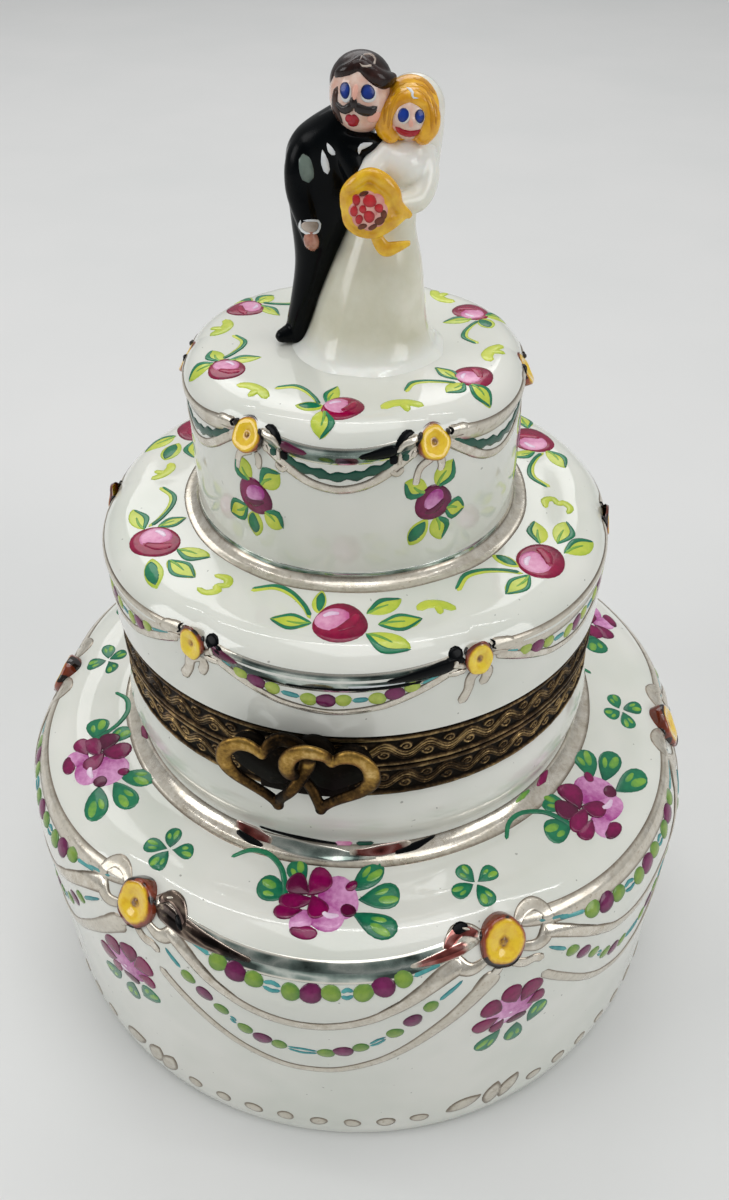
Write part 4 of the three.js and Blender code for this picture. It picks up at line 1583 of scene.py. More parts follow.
@dataclass
class HingeKnuckle:
    """A rolled knuckle with a leaf that hugs the band it is soldered to."""

    node: str
    body: Body
    index: int
    side: int
    sizes: BoxSizes
    length: float = 2.3
    gap: float = 0.1
    radius: float = 1.15
    bore: float = 0.51
    leaf_height: float = 2.6
    leaf: float = 0.55

    def build(self) -> bpy.types.Object:
        """Makes the knuckle.

        Returns:
            The knuckle.
        """
        s = self.sizes
        middle = (self.index - 2) * (self.length + self.gap)
        sides = 40
        turns = np.linspace(0, TURN, sides, endpoint=False)
        half = self.length / 2
        profile = [(self.bore, -half), (self.radius - 0.12, -half), (self.radius - 0.03, -half + 0.05),
                   (self.radius, -half + 0.14), (self.radius, half - 0.14), (self.radius - 0.03, half - 0.05),
                   (self.radius - 0.12, half), (self.bore, half)]
        points, tones = [], []
        for radius, along in profile:
            for turn in turns:
                points.append((middle + along, s.hinge_y + radius * cos(turn), s.split + radius * sin(turn)))
                tones.append(0.62 if radius == self.radius else 0.3)
        faces = [tuple(reversed(f)) for f in grid_faces(len(profile), sides, True, joined=True)]
        inner = s.band + s.rib + 0.1
        base = len(points)
        columns, rows = 9, 6
        low, high = 0.06, 0.06 + self.leaf_height
        for depth in (0.0, self.leaf):
            for i in range(rows):
                rise = low + (high - low) * i / (rows - 1)
                corner = 0.25 * smooth(high - 0.5, high, np.array(rise))
                for j in range(columns):
                    x = middle + (self.length - 2 * float(corner)) * (j / (columns - 1) - 0.5)
                    edge = 0.1 if depth and (j in (0, columns - 1) or i == rows - 1) else 0.0
                    y = sqrt((inner + depth - edge) ** 2 - x * x)
                    points.append((x, y, s.split + self.side * rise))
                    tones.append(0.5 if depth else 0.2)
        count = rows * columns
        front = grid_faces(rows, columns, False, start=base + count)
        back = [tuple(reversed(f)) for f in grid_faces(rows, columns, False, start=base)]
        rim = list(range(columns)) + [columns * (i + 1) - 1 for i in range(1, rows)]
        rim += [columns * rows - 1 - j for j in range(1, columns)]
        rim += [columns * i for i in range(rows - 2, 0, -1)]
        pairs = [(base + i, base + j) for i, j in zip(rim, rim[1:] + rim[:1])]
        walls = [(i, j, j + count, i + count) for i, j in pairs]
        leaf_faces = front + back + walls
        if self.side > 0:
            leaf_faces = [tuple(reversed(f)) for f in leaf_faces]
        points, tones, name = np.array(points), red_tones(tones), "worn_" + self.node
        piece = make_piece(name, points, faces + leaf_faces, BRASS, self.body, tones, 35)
        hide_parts(self.node)
        return piece


class Brasswork:
    """The bands, the hinge and the clasp."""

    def __init__(self, sizes: BoxSizes, nodes: dict[str, bpy.types.Object]) -> None:
        """Keeps the sizes of the box and its solids."""
        self.sizes, self.nodes = sizes, nodes

    def pin(self) -> None:
        """Makes the hinge pin with its two peened heads."""
        s = self.sizes
        half = (5 * HingeKnuckle.length + 4 * HingeKnuckle.gap) / 2 + 0.1
        outer = [(0.01, half + 0.5), (0.3, half + 0.48), (0.55, half + 0.38), (0.72, half + 0.22),
                 (0.75, half + 0.05),
                 (0.74, half), (0.45, half)]
        profile = outer + [(r, -along) for r, along in reversed(outer)]
        turns = np.linspace(0, TURN, 32, endpoint=False)
        points = [(along, s.hinge_y + r * cos(t),
                   s.split + r * sin(t)) for r, along in profile for t in turns]
        tones = red_tones([0.7 if r > 0.4 else 0.55 for r, _ in profile for _ in turns])
        faces = grid_faces(len(profile), len(turns), True)
        piece = make_piece("peened_pin", np.array(points), faces, BRASS, Body.BASE, tones, 40)
        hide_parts("hinge_pin")

    def build(self) -> None:
        """Makes all the brass."""
        s = self.sizes
        ChasedBand("chased_base_band", "base_band", Body.BASE, s.base_band_low, 1, s).build()
        ChasedBand("chased_lid_band", "lid_band", Body.LID, s.lid_band_low, -1, s).build()
        plates = Paint("clasp_plate", BRASS, Body.LID, Slot.BRASS)
        for heart in (
            HeartLoop("heart_left", "left_heart", -1, 2.24, 9, 39.0),
            HeartLoop("heart_right", "right_heart", 1, 2.1, 10, 39.15),
        ):
            heart.build()
            heart.plate(plates)
        plates.piece()
        for index in range(5):
            on_base = index % 2 == 0
            node = ("base_knuckle_" if on_base else "lid_knuckle_") + str(index // 2 + 1)
            HingeKnuckle(node, Body.BASE if on_base else Body.LID, index, -1 if on_base else 1, s).build()
        self.pin()
        # Without a tone these show the darkest brass all over; on the tongue that stands for painted shade of
        # the recess behind the hearts.
        for name in ("clasp_tongue", "catch_ridge"):
            node = self.nodes[name]
            node.data.materials.clear()
            node.data.materials.append(material_of(BRASS))
            log.info("%s keeps its solid, %s", name, BRASS.name)


# Ornament on the porcelain


class Motifs:
    """The painter's flowers and leaves. Each is drawn round the middle of its flower, x to the right
    and y up the wall or inward over the top."""

    def __init__(self, studio: Studio, seed: str) -> None:
        """Keeps the paints and starts the painter's hand from a seed."""
        self.studio, self.random = studio, random.Random(seed)

    def jitter(self, amount: float = 0.08) -> float:
        """A small seeded difference from one flower to the next."""
        return self.random.uniform(-amount, amount)

    def outlined_leaf(self, ground: Ground, foot: Point2, tip: Point2, width: float) -> None:
        """A lime leaf, shaded with a dark green brush on one side, on both or over most of it.

        Args:
            ground: where it is painted.
            foot: where it grows from.
            tip: its point.
            width: its width.
        """
        (x0, y0), (x1, y1) = foot, tip
        dx, dy = x1 - x0, y1 - y0
        length = hypot(dx, dy)
        width *= 1.25
        px, py = -dy / length * width / 2, dx / length * width / 2
        middle = ((x0 + x1) / 2, (y0 + y1) / 2)
        turn = degrees(atan2(dy, dx))
        self.studio(LIME).dab(ground, middle, (length / 2, width / 2), turn, 0.02, 0.03, Outline.LEAF)
        deep = self.studio(DEEP_LEAF)
        way = self.random.choice((0, 1, 1, -1, 2))
        if way == 2:
            inner = (middle[0] - px * 0.12, middle[1] - py * 0.12)
            deep.dab(ground, inner, (length * 0.42, width * 0.34), turn, 0.035, 0.03, Outline.LEAF)
            return
        for side in (1, -1) if way == 0 else (way,):
            bow = (middle[0] + side * px * 0.9, middle[1] + side * py * 0.9)
            heavy = 0.36 if way == 0 else 0.52
            deep.stroke(ground, [foot, bow, tip], [0.2, heavy, 0.16], 0.035, 0.03)
        rib = (x0 + dx * 0.66, y0 + dy * 0.66)
        bend = (x0 + dx * 0.3 + px * 0.15, y0 + dy * 0.3 + py * 0.15)
        self.studio(LEAF).stroke(ground, [foot, bend, rib], [0.26, 0.24, 0.1], 0.04, 0.03)

    def round_leaf(self, ground: Ground, centre: Point2, size: Point2, turn: float) -> None:
        """A leaf of two greens, dark round its edge.

        Args:
            ground: where it is painted.
            centre: its middle.
            size: half its length and half its width.
            turn: the angle of its length from x, in degrees.
        """
        self.studio(DEEP_LEAF).dab(ground, centre, size, turn, 0.02, 0.03, Outline.PETAL)
        c, s = compass(turn)
        (x, y), (length, width) = centre, size
        for away, aside, share in ((-0.3, 0.26, 0.52), (-0.12, -0.34, 0.36)):
            inner = (x + c * length * away - s * width * aside, y + s * length * away + c * width * aside)
            pale = (length * share, width * share * 0.66)
            self.studio(LEAF).dab(ground, inner, pale, turn - aside * 40, 0.035, 0.03)

    def sprig(self, ground: Ground) -> None:
        """Four round leaves in a cross.

        Args:
            ground: where it is painted.
        """
        for turn in (35, 125, 200, 290):
            turn += self.jitter(8)
            c, s = compass(turn)
            self.round_leaf(ground, (1.22 * c, 1.22 * s), (1.05, 0.82), turn + 180)

    def stem(self, ground: Ground, path: Sequence[Point2], width: float, lime: bool) -> None:
        """A curved stem, with a lime shadow stroke under it where asked.

        Args:
            ground: where it is painted.
            path: what it passes through.
            width: its width.
            lime: whether it has the shadow.
        """
        if lime:
            under = [(x + 0.06, y - 0.22) for x, y in path]
            self.studio(LIME).stroke(ground, under, [width, width * 1.1, width * 0.7], 0.015, 0.02)
        widths = [width * 0.55, width, width * 0.85, width * 0.9]
        self.studio(DEEP_LEAF).stroke(ground, path, widths, 0.03, 0.05)

    def full_rose(self, ground: Ground) -> None:
        """A full blown orchid rose with plum petals, as on the top of the base.

        Args:
            ground: where it is painted.
        """
        stem = [(-9.0, 2.4), (-7.6, 3.6), (-5.8, 3.7), (-4.2, 2.7), (-3.4, 1.2), (-3.2, 0.1)]
        self.stem(ground, stem, 0.62, False)
        for centre, size, turn in (
            ((-4.3, 0.7), (1.5, 1.2), 350), ((-2.5, 2.5), (1.3, 1.1), 300), ((3.7, 2.3), (1.9, 1.15), 215),
            ((4.6, 0.5), (1.9, 1.15), 182), ((3.9, -1.7), (1.9, 1.15), 150),
        ):
            self.round_leaf(ground, centre, size, turn)
        oval, petal = Outline.OVAL, Outline.PETAL
        for finish, centre, size, turn, lift, outline in (
            (ORCHID, (1.2, 0.6), (1.75, 1.9), 200, 0.03, oval),
            (ORCHID, (0.3, -1.0), (1.6, 1.3), 160, 0.04, oval),
            (ORCHID, (-1.5, -1.6), (1.1, 0.9), 60, 0.045, oval),
            (PLUM, (-2.6, -0.9), (1.2, 0.75), 15, 0.06, petal),
            (PLUM, (-1.2, -2.5), (1.0, 0.6), 175, 0.06, oval),
            (PLUM, (-0.6, 1.8), (1.4, 1.2), 235, 0.06, petal),
            (DARK_PLUM, (-2.2, 1.4), (1.15, 1.05), 330, 0.07, petal),
            (PLUM, (-2.1, 0.1), (1.5, 0.8), 12, 0.08, petal),
            (PLUM, (-0.5, -0.2), (1.15, 0.95), 120, 0.09, petal),
            (DARK_PLUM, (2.0, -0.5), (0.65, 0.6), 0, 0.09, oval),
            (PLUM, (2.3, 1.6), (0.6, 0.4), 40, 0.08, oval),
        ):
            self.studio(finish).dab(ground, centre, size, turn, lift, 0.05, outline)
        fold = [(-0.1, -0.6), (0.5, -1.0), (1.4, -0.95)]
        self.studio(LILAC).stroke(ground, fold, [0.3, 0.62, 0.25], 0.1, 0.03)

    def wall_rose(self, ground: Ground) -> None:
        """The taller orchid rose on the wall of the base.

        Args:
            ground: where it is painted.
        """
        paint = self.studio
        paint(ORCHID).dab(ground, (0.4, 0.2), (2.6, 1.9), 15, 0.02, 0.05)
        paint(LILAC).dab(ground, (0.3, -0.2), (1.5, 0.9), 25, 0.04, 0.02)
        for centre, size, turn in (
            ((-2.0, -0.6), (1.3, 1.0), 15), ((-1.3, 1.2), (1.2, 1.1), 320), ((0.6, 1.9), (1.2, 1.1), 285),
            ((2.2, 1.6), (1.4, 1.1), 225), ((2.8, 0.1), (1.0, 0.8), 190), ((-0.9, -1.5), (1.0, 0.7), 60),
        ):
            paint(PLUM).dab(ground, centre, size, turn, 0.05, 0.05, Outline.PETAL)
        paint(DARK_PLUM).dab(ground, (0.9, -1.5), (1.0, 0.6), 8, 0.05, 0.05)
        for centre, size, turn in (
            ((2.9, -2.3), (1.5, 1.15), 235), ((0.75, -3.9), (1.5, 1.05), 80), ((-1.7, -3.6), (1.6, 1.1), 50),
        ):
            self.round_leaf(ground, centre, size, turn)

    def bud(self, ground: Ground, size: float) -> None:
        """A rosebud: a crimson oval with a pink heart that a crimson comma cuts into.

        Args:
            ground: where it is painted.
            size: half its width.
        """
        paint = self.studio
        paint(CRIMSON).dab(ground, (0, 0), (size, size * 0.94), 0, 0.035, 0.06, sides=28)
        paint(ROSE).dab(ground, (-0.22 * size, 0.1 * size), (0.66 * size, 0.62 * size), 8, 0.07, 0.04)
        paint(LILAC).stroke(
            ground, [(-0.68 * size, 0.16 * size), (-0.4 * size, 0.38 * size), (0.0, 0.42 * size)],
            [0.12 * size, 0.26 * size, 0.1 * size], 0.1, 0.02,
        )
        comma = [(0.6 * size, 0.5 * size), (0.36 * size, -0.02 * size), (-0.1 * size, -0.44 * size)]
        paint(CRIMSON).stroke(ground, comma, [0.26 * size, 0.48 * size, 0.2 * size], 0.1, 0.03)

    def budded_spray(self, ground: Ground, size: float, right_leaves: bool) -> None:
        """A rosebud with its leaves and stem, as on the two upper tiers.

        Args:
            ground: where it is painted.
            size: half the bud's width.
            right_leaves: whether leaves grow on its right.
        """
        k = size / 1.95
        stem = [(-7.4 * k, 1.3), (-5.9 * k, 2.35), (-4.3 * k, 2.2), (-2.9 * k, 1.3), (-2.1 * k, 0.3)]
        self.stem(ground, stem, 0.42, True)
        leaves = [
            ((1.75, 0.95), (4.5, 2.25), 1.15), ((2.5, -0.1), (5.5, 0.0), 1.25),
            ((1.7, -0.95), (4.3, -2.4), 1.2),
            ((-1.85, -0.3), (-4.6, -0.75), 1.15), ((-1.7, 0.7), (-2.0, 2.95), 0.95),
        ] if right_leaves else [
            ((-1.45 * k, 0.5), (-0.9 * k, 3.3), 1.15), ((-1.6 * k, 0.0), (-4.1 * k, -0.3), 1.2),
            ((-1.5 * k, -0.5), (-1.6 * k, -3.2), 1.15),
        ]
        for foot, tip, width in leaves:
            self.outlined_leaf(ground, foot, tip, width)
        self.bud(ground, size)

    def squiggle(self, ground: Ground, arch: bool) -> None:
        """A lime scribble between two sprays.

        Args:
            ground: where it is painted.
            arch: whether it is an arch, or else an S.
        """
        lime = self.studio(LIME)
        if arch:
            lime.stroke(ground, [(-1.5, 0.1), (-0.6, 0.5), (0.5, 0.1), (1.3, -0.9)], [0.8, 1.05, 0.95, 0.6],
                        0.02, 0.04)
            lime.stroke(ground, [(0.1, 0.2), (0.15, -0.4), (0.05, -0.9)], [0.7, 0.65, 0.45], 0.03, 0.04)
        else:
            lime.stroke(ground, [(-0.8, 0.9), (0.4, 1.2), (0.9, 0.5), (0.1, 0.0)], [0.4, 0.85, 0.8, 0.5],
                        0.02, 0.05)
            lime.stroke(ground, [(0.1, 0.1), (0.7, -0.4), (0.2, -1.1), (-0.7, -1.0)], [0.5, 0.85, 0.7, 0.4],
                        0.03, 0.05)

    def wall_bud(self, ground: Ground, size: float) -> None:
        """The rosebud on the wall of the top tier, with five leaves round it.

        Args:
            ground: where it is painted.
            size: half the bud's width.
        """
        for foot, tip in (
            ((-0.35, 0.95), (-1.6, 2.25)), ((0.4, 1.0), (1.85, 2.4)), ((-0.6, -1.0), (-2.2, -2.4)),
            ((0.0, -1.1), (0.1, -3.05)),
            ((0.7, -0.8), (2.2, -1.6)),
        ):
            self.outlined_leaf(ground, foot, tip, 1.15)
        self.studio(PLUM).dab(ground, (0, 0), (size * 1.05, size * 0.96), 0, 0.035, 0.06, sides=28)
        self.studio(ORCHID).dab(ground, (0.05, 0.22), (0.62 * size, 0.5 * size), 50, 0.075, 0.04)
        comma = [(-0.65 * size, -0.25 * size), (0.0, -0.35 * size), (0.65 * size, 0.05 * size)]
        self.studio(DARK_PLUM).stroke(ground, comma, [0.2, 0.6, 0.2], 0.1, 0.03)


@dataclass(frozen=True)
class Hang:
    """The way a line hangs between two rosettes: places up the wall, at shares of the way from the
    swag's middle out to a rosette."""

    shares: tuple[float, ...]
    ups: tuple[float, ...]

    @cached_property
    def curve(self) -> Array:
        """The line through the knots, from the middle outwards."""
        return spline([(-self.shares[1], self.ups[1]), *zip(self.shares, self.ups)], 90)

    def at(self, share: float) -> float:
        """Place up the wall at a share, the same on both sides."""
        return float(np.interp(abs(share), self.curve[:, 0], self.curve[:, 1]))


class Swags:
    """The garlands, lustre lines and strips that hang between the rosettes of a tier. Along a swag, x is
    millimetres round the wall from the swag's middle."""

    def __init__(self, skin: TierSkin, studio: Studio) -> None:
        """Keeps the tier and its paints, and half the length of a swag."""
        self.skin, self.studio = skin, studio
        self.half = skin.radius * skin.swag_angle / 2

    def ground(self, index: int) -> TierGround:
        """The wall under one swag."""
        angle = self.skin.phase + self.skin.swag_angle * index
        return TierGround(self.skin, angle, 0.0, reach=self.skin.radius)

    def line(self, index: int, hang: Hang, widths: Sequence[float], ends: Point2, finish: Finish,
             dome: float) -> None:
        """A line of lustre.

        Args:
            index: number of the swag.
            hang: how it hangs.
            widths: its width from the left end to the right one.
            ends: shares at which it starts and ends.
            finish: its finish.
            dome: how far it stands up in its middle.
        """
        shares = np.linspace(ends[0], ends[1], 25)
        path = [(t * self.half, hang.at(t)) for t in shares]
        self.studio(finish).stroke(self.ground(index), path, widths, 0.02, dome, 0.04, steps=90)

    def strip(self, index: int, width: float, over: float, finish: Finish, reach: float = 0.9) -> None:
        """The band of mirror lustre that covers the step at the drape's edge.

        Args:
            index: number of the swag.
            width: its width.
            over: how far its upper edge is above the drape's.
            finish: its finish.
            reach: share of the swag it covers.
        """
        shares = np.linspace(-reach, reach, 25)
        skin, ground = self.skin, self.ground(index)
        angles = skin.phase + skin.swag_angle * (index + shares / 2)
        widths = width * (1 - 0.55 * np.abs(shares) ** 4)
        edges = skin.edge(angles) + over
        path = [(t * self.half, float(e - w / 2)) for t, e, w in zip(shares, edges, widths)]
        self.studio(finish).stroke(ground, path, list(widths), 0.02, 0.03, 0.05, steps=90)

    def painted_strip_reflection(self, index: int, width: float, over: float, shares: Point2, finish: Finish) -> None:
        """A stroke of painted reflection over a strip, from its thin point at the first share outwards.

        Args:
            index: number of the swag.
            width: its width.
            over: how far the strip's upper edge is above the drape's.
            shares: where it starts and ends.
            finish: its finish.
        """
        along = np.linspace(*shares, 9)
        angles = self.skin.phase + self.skin.swag_angle * (index + along / 2)
        edges = self.skin.edge(angles) + over - width / 2
        path = [(t * self.half, float(edge)) for t, edge in zip(along, edges)]
        widths = [0.2 * width, 0.7 * width, width, 0.9 * width]
        self.studio(finish).stroke(self.ground(index), path, widths, 0.07, 0.04, 0.05)

    def bead(self, index: int, hang: Hang, share: float, size: Point2, finish: Finish, drop: float) -> None:
        """One bead of a garland, turned along it.

        Args:
            index: number of the swag.
            hang: how the garland hangs.
            share: its place along the garland.
            size: half its length and half its width.
            finish: its finish.
            drop: how far it is above the garland's line.
        """
        y = hang.at(share)
        slope = degrees(atan2(hang.at(share + 0.01) - hang.at(share - 0.01), 0.02 * self.half))
        self.studio(finish).dab(self.ground(index), (share * self.half, y + drop), size, slope, 0.03, 0.1)

    def beads(
        self, index: int, hang: Hang, plums: Sequence[float], size: Point2, links: bool,
        lime: Finish = BEAD_LIME
    ) -> None:
        """A garland of plum beads, each between two lime ones, with doubled teal links between the groups.

        Args:
            index: number of the swag.
            hang: how it hangs.
            plums: shares of the plum beads.
            size: half length and half width of a bead.
            links: whether the links are doubled.
            lime: finish of the beads beside the plum ones.
        """
        ground, step = self.ground(index), size[0] * 1.78 / self.half
        for plum in plums:
            for offset, finish, scale in ((-1, lime, 0.94), (1, lime, 0.9), (0, BEAD_PLUM, 1.08)):
                own = (size[0] * scale, size[1] * scale)
                self.bead(index, hang, plum + offset * step, own, finish, 0.12 * size[1] * offset)
        gaps = [(a + 1.5 * step, b - 1.5 * step) for a, b in zip(plums, plums[1:])]
        for start, end in gaps:
            for shift in (0.42, -0.42) if links else (0.0,):
                shares = np.linspace(start, end, 5)
                bows = [shift * size[1] * (1 - abs(k - 2) / 4) for k in range(5)]
                path = [(t * self.half, hang.at(t) + bow) for t, bow in zip(shares, bows)]
                wide = size[1] if links else 1.9 * size[1]
                self.studio(TEAL).stroke(ground, path, [0.34 * wide, 0.46 * wide, 0.34 * wide], 0.02, 0.05)
        for start, end in ((plums[0] - 1.5 * step, -hang.shares[-1]),
                           (plums[-1] + 1.5 * step, hang.shares[-1])):
            path = [(t * self.half, hang.at(t)) for t in np.linspace(start, end, 5)]
            self.studio(TEAL).stroke(ground, path, [0.5 * size[1], 0.62 * size[1], 0.3 * size[1]], 0.02, 0.04)


@dataclass
class Rosette:
    """A pressed rosette: a button in a cupped ring of soft petals."""

    name: str
    node: str
    body: Body
    ground: TierGround
    width: float
    height: float
    rise: float
    tip: float
    finish: Finish

    def build(self) -> bpy.types.Object:
        """Makes the rosette, with its face tipped up and its rim still in the glaze.

        Returns:
            The rosette.
        """
        shares = np.array([0.0, 0.08, 0.14, 0.2, 0.36, 0.54, 0.7, 0.8, 0.88, 0.94, 0.98, 1.0])
        heights = np.array([0.74, 0.73, 0.66, 0.64, 0.76, 0.94, 1.0, 0.97, 0.88, 0.7, 0.4, -0.2])
        around = 48
        angle = np.linspace(0, TURN, around, endpoint=False)
        frill = 1 + 0.02 * np.cos(5 * angle) + 0.02 * np.cos(3 * angle + 1)
        x = shares[:, None] * np.cos(angle) * frill * self.width
        y = shares[:, None] * np.sin(angle) * frill * self.height
        petal = 1 + 0.03 * np.cos(5 * angle) * smooth(0.4, 0.8, shares)[:, None]
        lifts = heights[:, None] * self.rise * petal
        lifts -= y * tan(radians(self.tip)) * (1 - smooth(0.94, 1.0, shares))[:, None]
        seat, above, beside = self.ground.lay(np.array([0, 0, 0.1]), np.array([0.0]), np.array([0, 1, 0]))
        out, right = above - seat, beside - seat
        right -= out * float(right @ out)
        right /= np.linalg.norm(right)
        up = np.cross(out, right)
        points = seat + x[..., None] * right + y[..., None] * up + lifts[..., None] * out
        tones = red_tones(np.broadcast_to(shares[:, None], x.shape))
        faces, points = grid_faces(len(shares), around, True), points.reshape(-1, 3)
        piece = make_piece(self.name, points, faces, self.finish, self.body, tones)
        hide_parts(self.node)
        return piece


@dataclass(frozen=True)
class Brushmark:
    """One touch of the brush beside a rosette, in millimetres from its middle, drawn for its right side."""

    finish: Finish
    path: tuple[Point2, ...]
    widths: tuple[float, ...]
    lift: float = 0.05
    only: int = 0

    def lay(self, ground: TierGround, studio: Studio, side: int) -> None:
        """Adds the mark on one side, unless it is kept to the other.

        Args:
            ground: the rosette's place.
            studio: the paints.
            side: 1 on the right and -1 on the left.
        """
        if self.only not in (0, side):
            return
        path = [(side * x, y) for x, y in self.path]
        studio(self.finish).stroke(ground, path, self.widths, self.lift, 0.035, 0.05)


@dataclass(frozen=True)
class RosetteRow:
    """The six rosettes of a tier with the bows behind them."""

    area: str
    body: Body
    skin: TierSkin
    up: float
    width: float
    height: float
    rise: float
    tip: float
    finish: Finish
    legs: tuple[tuple[Point2, ...], ...]
    leg_width: float
    marks_with_painted_reflections: tuple[Brushmark, ...]
    pale_marks: tuple[Brushmark, ...]

    def spots(self, ground: TierGround, studio: Studio) -> None:
        """The black touches at the rosette's edge.

        Args:
            ground: the rosette's place.
            studio: the paints.
        """
        for turn, size in ((150, 0.5), (200, 0.34), (250, 0.44), (292, 0.4), (25, 0.36)):
            c, s = compass(turn)
            spot = (self.width * 0.98 * c, self.height * 0.98 * s)
            own = (size * self.width / 2, size * self.width / 3.4)
            studio(SOOT).dab(ground, spot, own, turn - 90, 0.08, self.rise * 0.3)

    def build(self, studio: Studio) -> None:
        """Makes the row.

        Args:
            studio: the paints.
        """
        for index in range(self.skin.swags):
            angle = self.skin.phase + self.skin.swag_angle * (index + 0.5)
            ground = TierGround(self.skin, angle, self.up, reach=self.skin.radius)
            for leg in self.legs:
                wide = self.leg_width
                studio(LUSTRE).stroke(ground, list(leg), [wide, wide * 1.2, wide, wide * 1.1], 0.03, 0.04,
                                      0.05)
            # Beside the front swag and the back one, the bows carry painted reflections.
            for side, dark in ((-1, index % 3 == 0), (1, index % 3 == 2)):
                for mark in self.marks_with_painted_reflections if dark else self.pale_marks:
                    mark.lay(ground, studio, side)
            self.spots(ground, studio)
            name = f"{self.area}_rosette_{index + 1}"
            Rosette(
                "painted_" + name, name, self.body, ground, self.width, self.height, self.rise, self.tip,
                self.finish
            ).build()


class BaseOrnament:
    """All that is painted and moulded on the base tier."""

    def __init__(self, skin: TierSkin) -> None:
        """Keeps the tier and starts its paints."""
        self.skin, self.studio = skin, Studio("base", Body.BASE)

    def top(self) -> None:
        """Roses and sprigs on the flat top."""
        skin = self.skin
        for index in range(skin.swags):
            middle = skin.phase + skin.swag_angle * index
            motifs = Motifs(self.studio, f"base_top_{index}")
            rose = TierGround(skin, middle + radians(0.6 + motifs.jitter(0.6)), skin.up_at_radius(25.0),
                              motifs.jitter(0.05), 1.0 + motifs.jitter(0.03))
            motifs.full_rose(rose)
            sprig = TierGround(skin, middle + radians(29.5 + motifs.jitter(1.0)), skin.up_at_radius(25.3),
                               motifs.jitter(0.2))
            motifs.sprig(sprig)

    def ring(self, skin: TierSkin, paint: Paint, start: float, end: float, around: int = 240) -> None:
        """A ring of lustre in the cove at the foot of a wall. Its blue tone lets a lustre with painted
        reflections show them at the front and turn pale towards the back.

        Args:
            skin: the tier below the wall.
            paint: the paint.
            start: place of its outer edge.
            end: place of its inner edge.
            around: how many points it has all round.
        """
        ups = np.linspace(start, end, 12)
        angles = np.linspace(0, TURN, around, endpoint=False)
        wobble = 0.05 * np.sin(angles * 5) + 0.03 * np.sin(angles * 11 + 1)
        lifts = 0.05 * np.sin(np.linspace(0, pi, len(ups))) + 0.01
        lifts[[0, -1]] = -0.04
        shares = (1 if k < 3 else 0.3 for k in range(len(ups)))
        points = [skin.at(angles, up + wobble * share, lift) for up, share, lift in zip(ups, shares, lifts)]
        tones = np.zeros((len(ups), around, 3))
        tones[:, :, 0] = np.abs(np.linspace(-1, 1, len(ups)))[:, None]
        # Blue: low at the front, where painted reflections show, rising towards the back.
        tones[:, :, 2] = 0.5 + 0.5 * smooth(radians(25), radians(85), np.abs((angles + pi) % TURN - pi))
        paint.patch(np.array(points), tones)

    def cove_painted_reflections(self, up: float) -> None:
        """Painted reflections in the lustre of the cove, in slate, red and black streaks: long ones at the
        front, below the clasp, and a plum and a green one behind each of the other roses.

        Args:
            up: place of their middle.
        """
        skin = self.skin
        front = TierGround(skin, 0.0, up, reach=skin.inner)
        for mark in (
            Brushmark(PAINTED_REFLECTION_LUSTRE, ((-4.6, 0.1), (-1.8, -0.1), (1.4, -0.35), (5.4, -0.5)), (0.6, 1.5, 1.4, 0.4),
                      0.05),
            Brushmark(RED_PAINTED_REFLECTION, ((-6.6, 0.35), (-5.0, 0.1), (-2.9, -0.15)), (0.7, 1.3, 0.6), 0.07),
            Brushmark(BLACK, ((-6.3, -0.3), (-5.1, -0.55), (-3.6, -0.75)), (0.4, 0.75, 0.3), 0.1),
            Brushmark(BLACK, ((-4.4, 0.85), (0.0, 0.75), (2.5, 0.6)), (0.15, 0.34, 0.15), 0.1),
            Brushmark(ROSE, ((2.0, 0.65), (3.4, 0.7)), (0.4, 0.4), 0.1),
            Brushmark(FOREST, ((3.7, 0.7), (5.1, 0.7)), (0.42, 0.36), 0.1),
            Brushmark(RED_PAINTED_REFLECTION, ((3.0, -0.15), (5.5, -0.05), (8.2, 0.25)), (0.5, 1.15, 0.9), 0.07),
            Brushmark(BLACK, ((6.6, -0.35), (8.3, -0.05), (10.2, 0.5)), (0.3, 0.75, 0.2), 0.1),
        ):
            mark.lay(front, self.studio, 1)
        for index in range(1, skin.swags):
            ground = TierGround(skin, skin.phase + skin.swag_angle * index, up, reach=skin.inner)
            for mark in (
                Brushmark(PLUM, ((-1.7, 0.0), (-0.7, 0.1), (0.4, 0.3)), (0.2, 1.0, 0.2), 0.08),
                Brushmark(LEAF, ((-4.4, 0.1), (-3.4, 0.2), (-2.4, 0.2)), (0.2, 0.6, 0.2), 0.08),
            ):
                mark.lay(ground, self.studio, 1)

    GARLAND = Hang((0.0, 0.2, 0.35, 0.5, 0.66, 0.78), (2.3, 2.5, 2.95, 3.6, 4.3, 4.8))
    LINE = Hang((0.0, 0.15, 0.3, 0.4, 0.5, 0.6, 0.7, 0.78), (-1.95, -1.65, -0.75, 0.3, 1.4, 2.5, 3.4, 3.9))
    LOWER_GARLAND = Hang((0.0, 0.2, 0.35, 0.45, 0.55, 0.65, 0.76), (-6.1, -5.5, -4.0, -2.4, -0.7, 0.9, 2.2))
    LOWER_LINE = Hang(
        (0.0, 0.15, 0.35, 0.5, 0.62, 0.75, 0.86, 0.96), (-9.0, -8.7, -7.2, -5.3, -3.4, -1.4, 0.4, 1.9)
    )

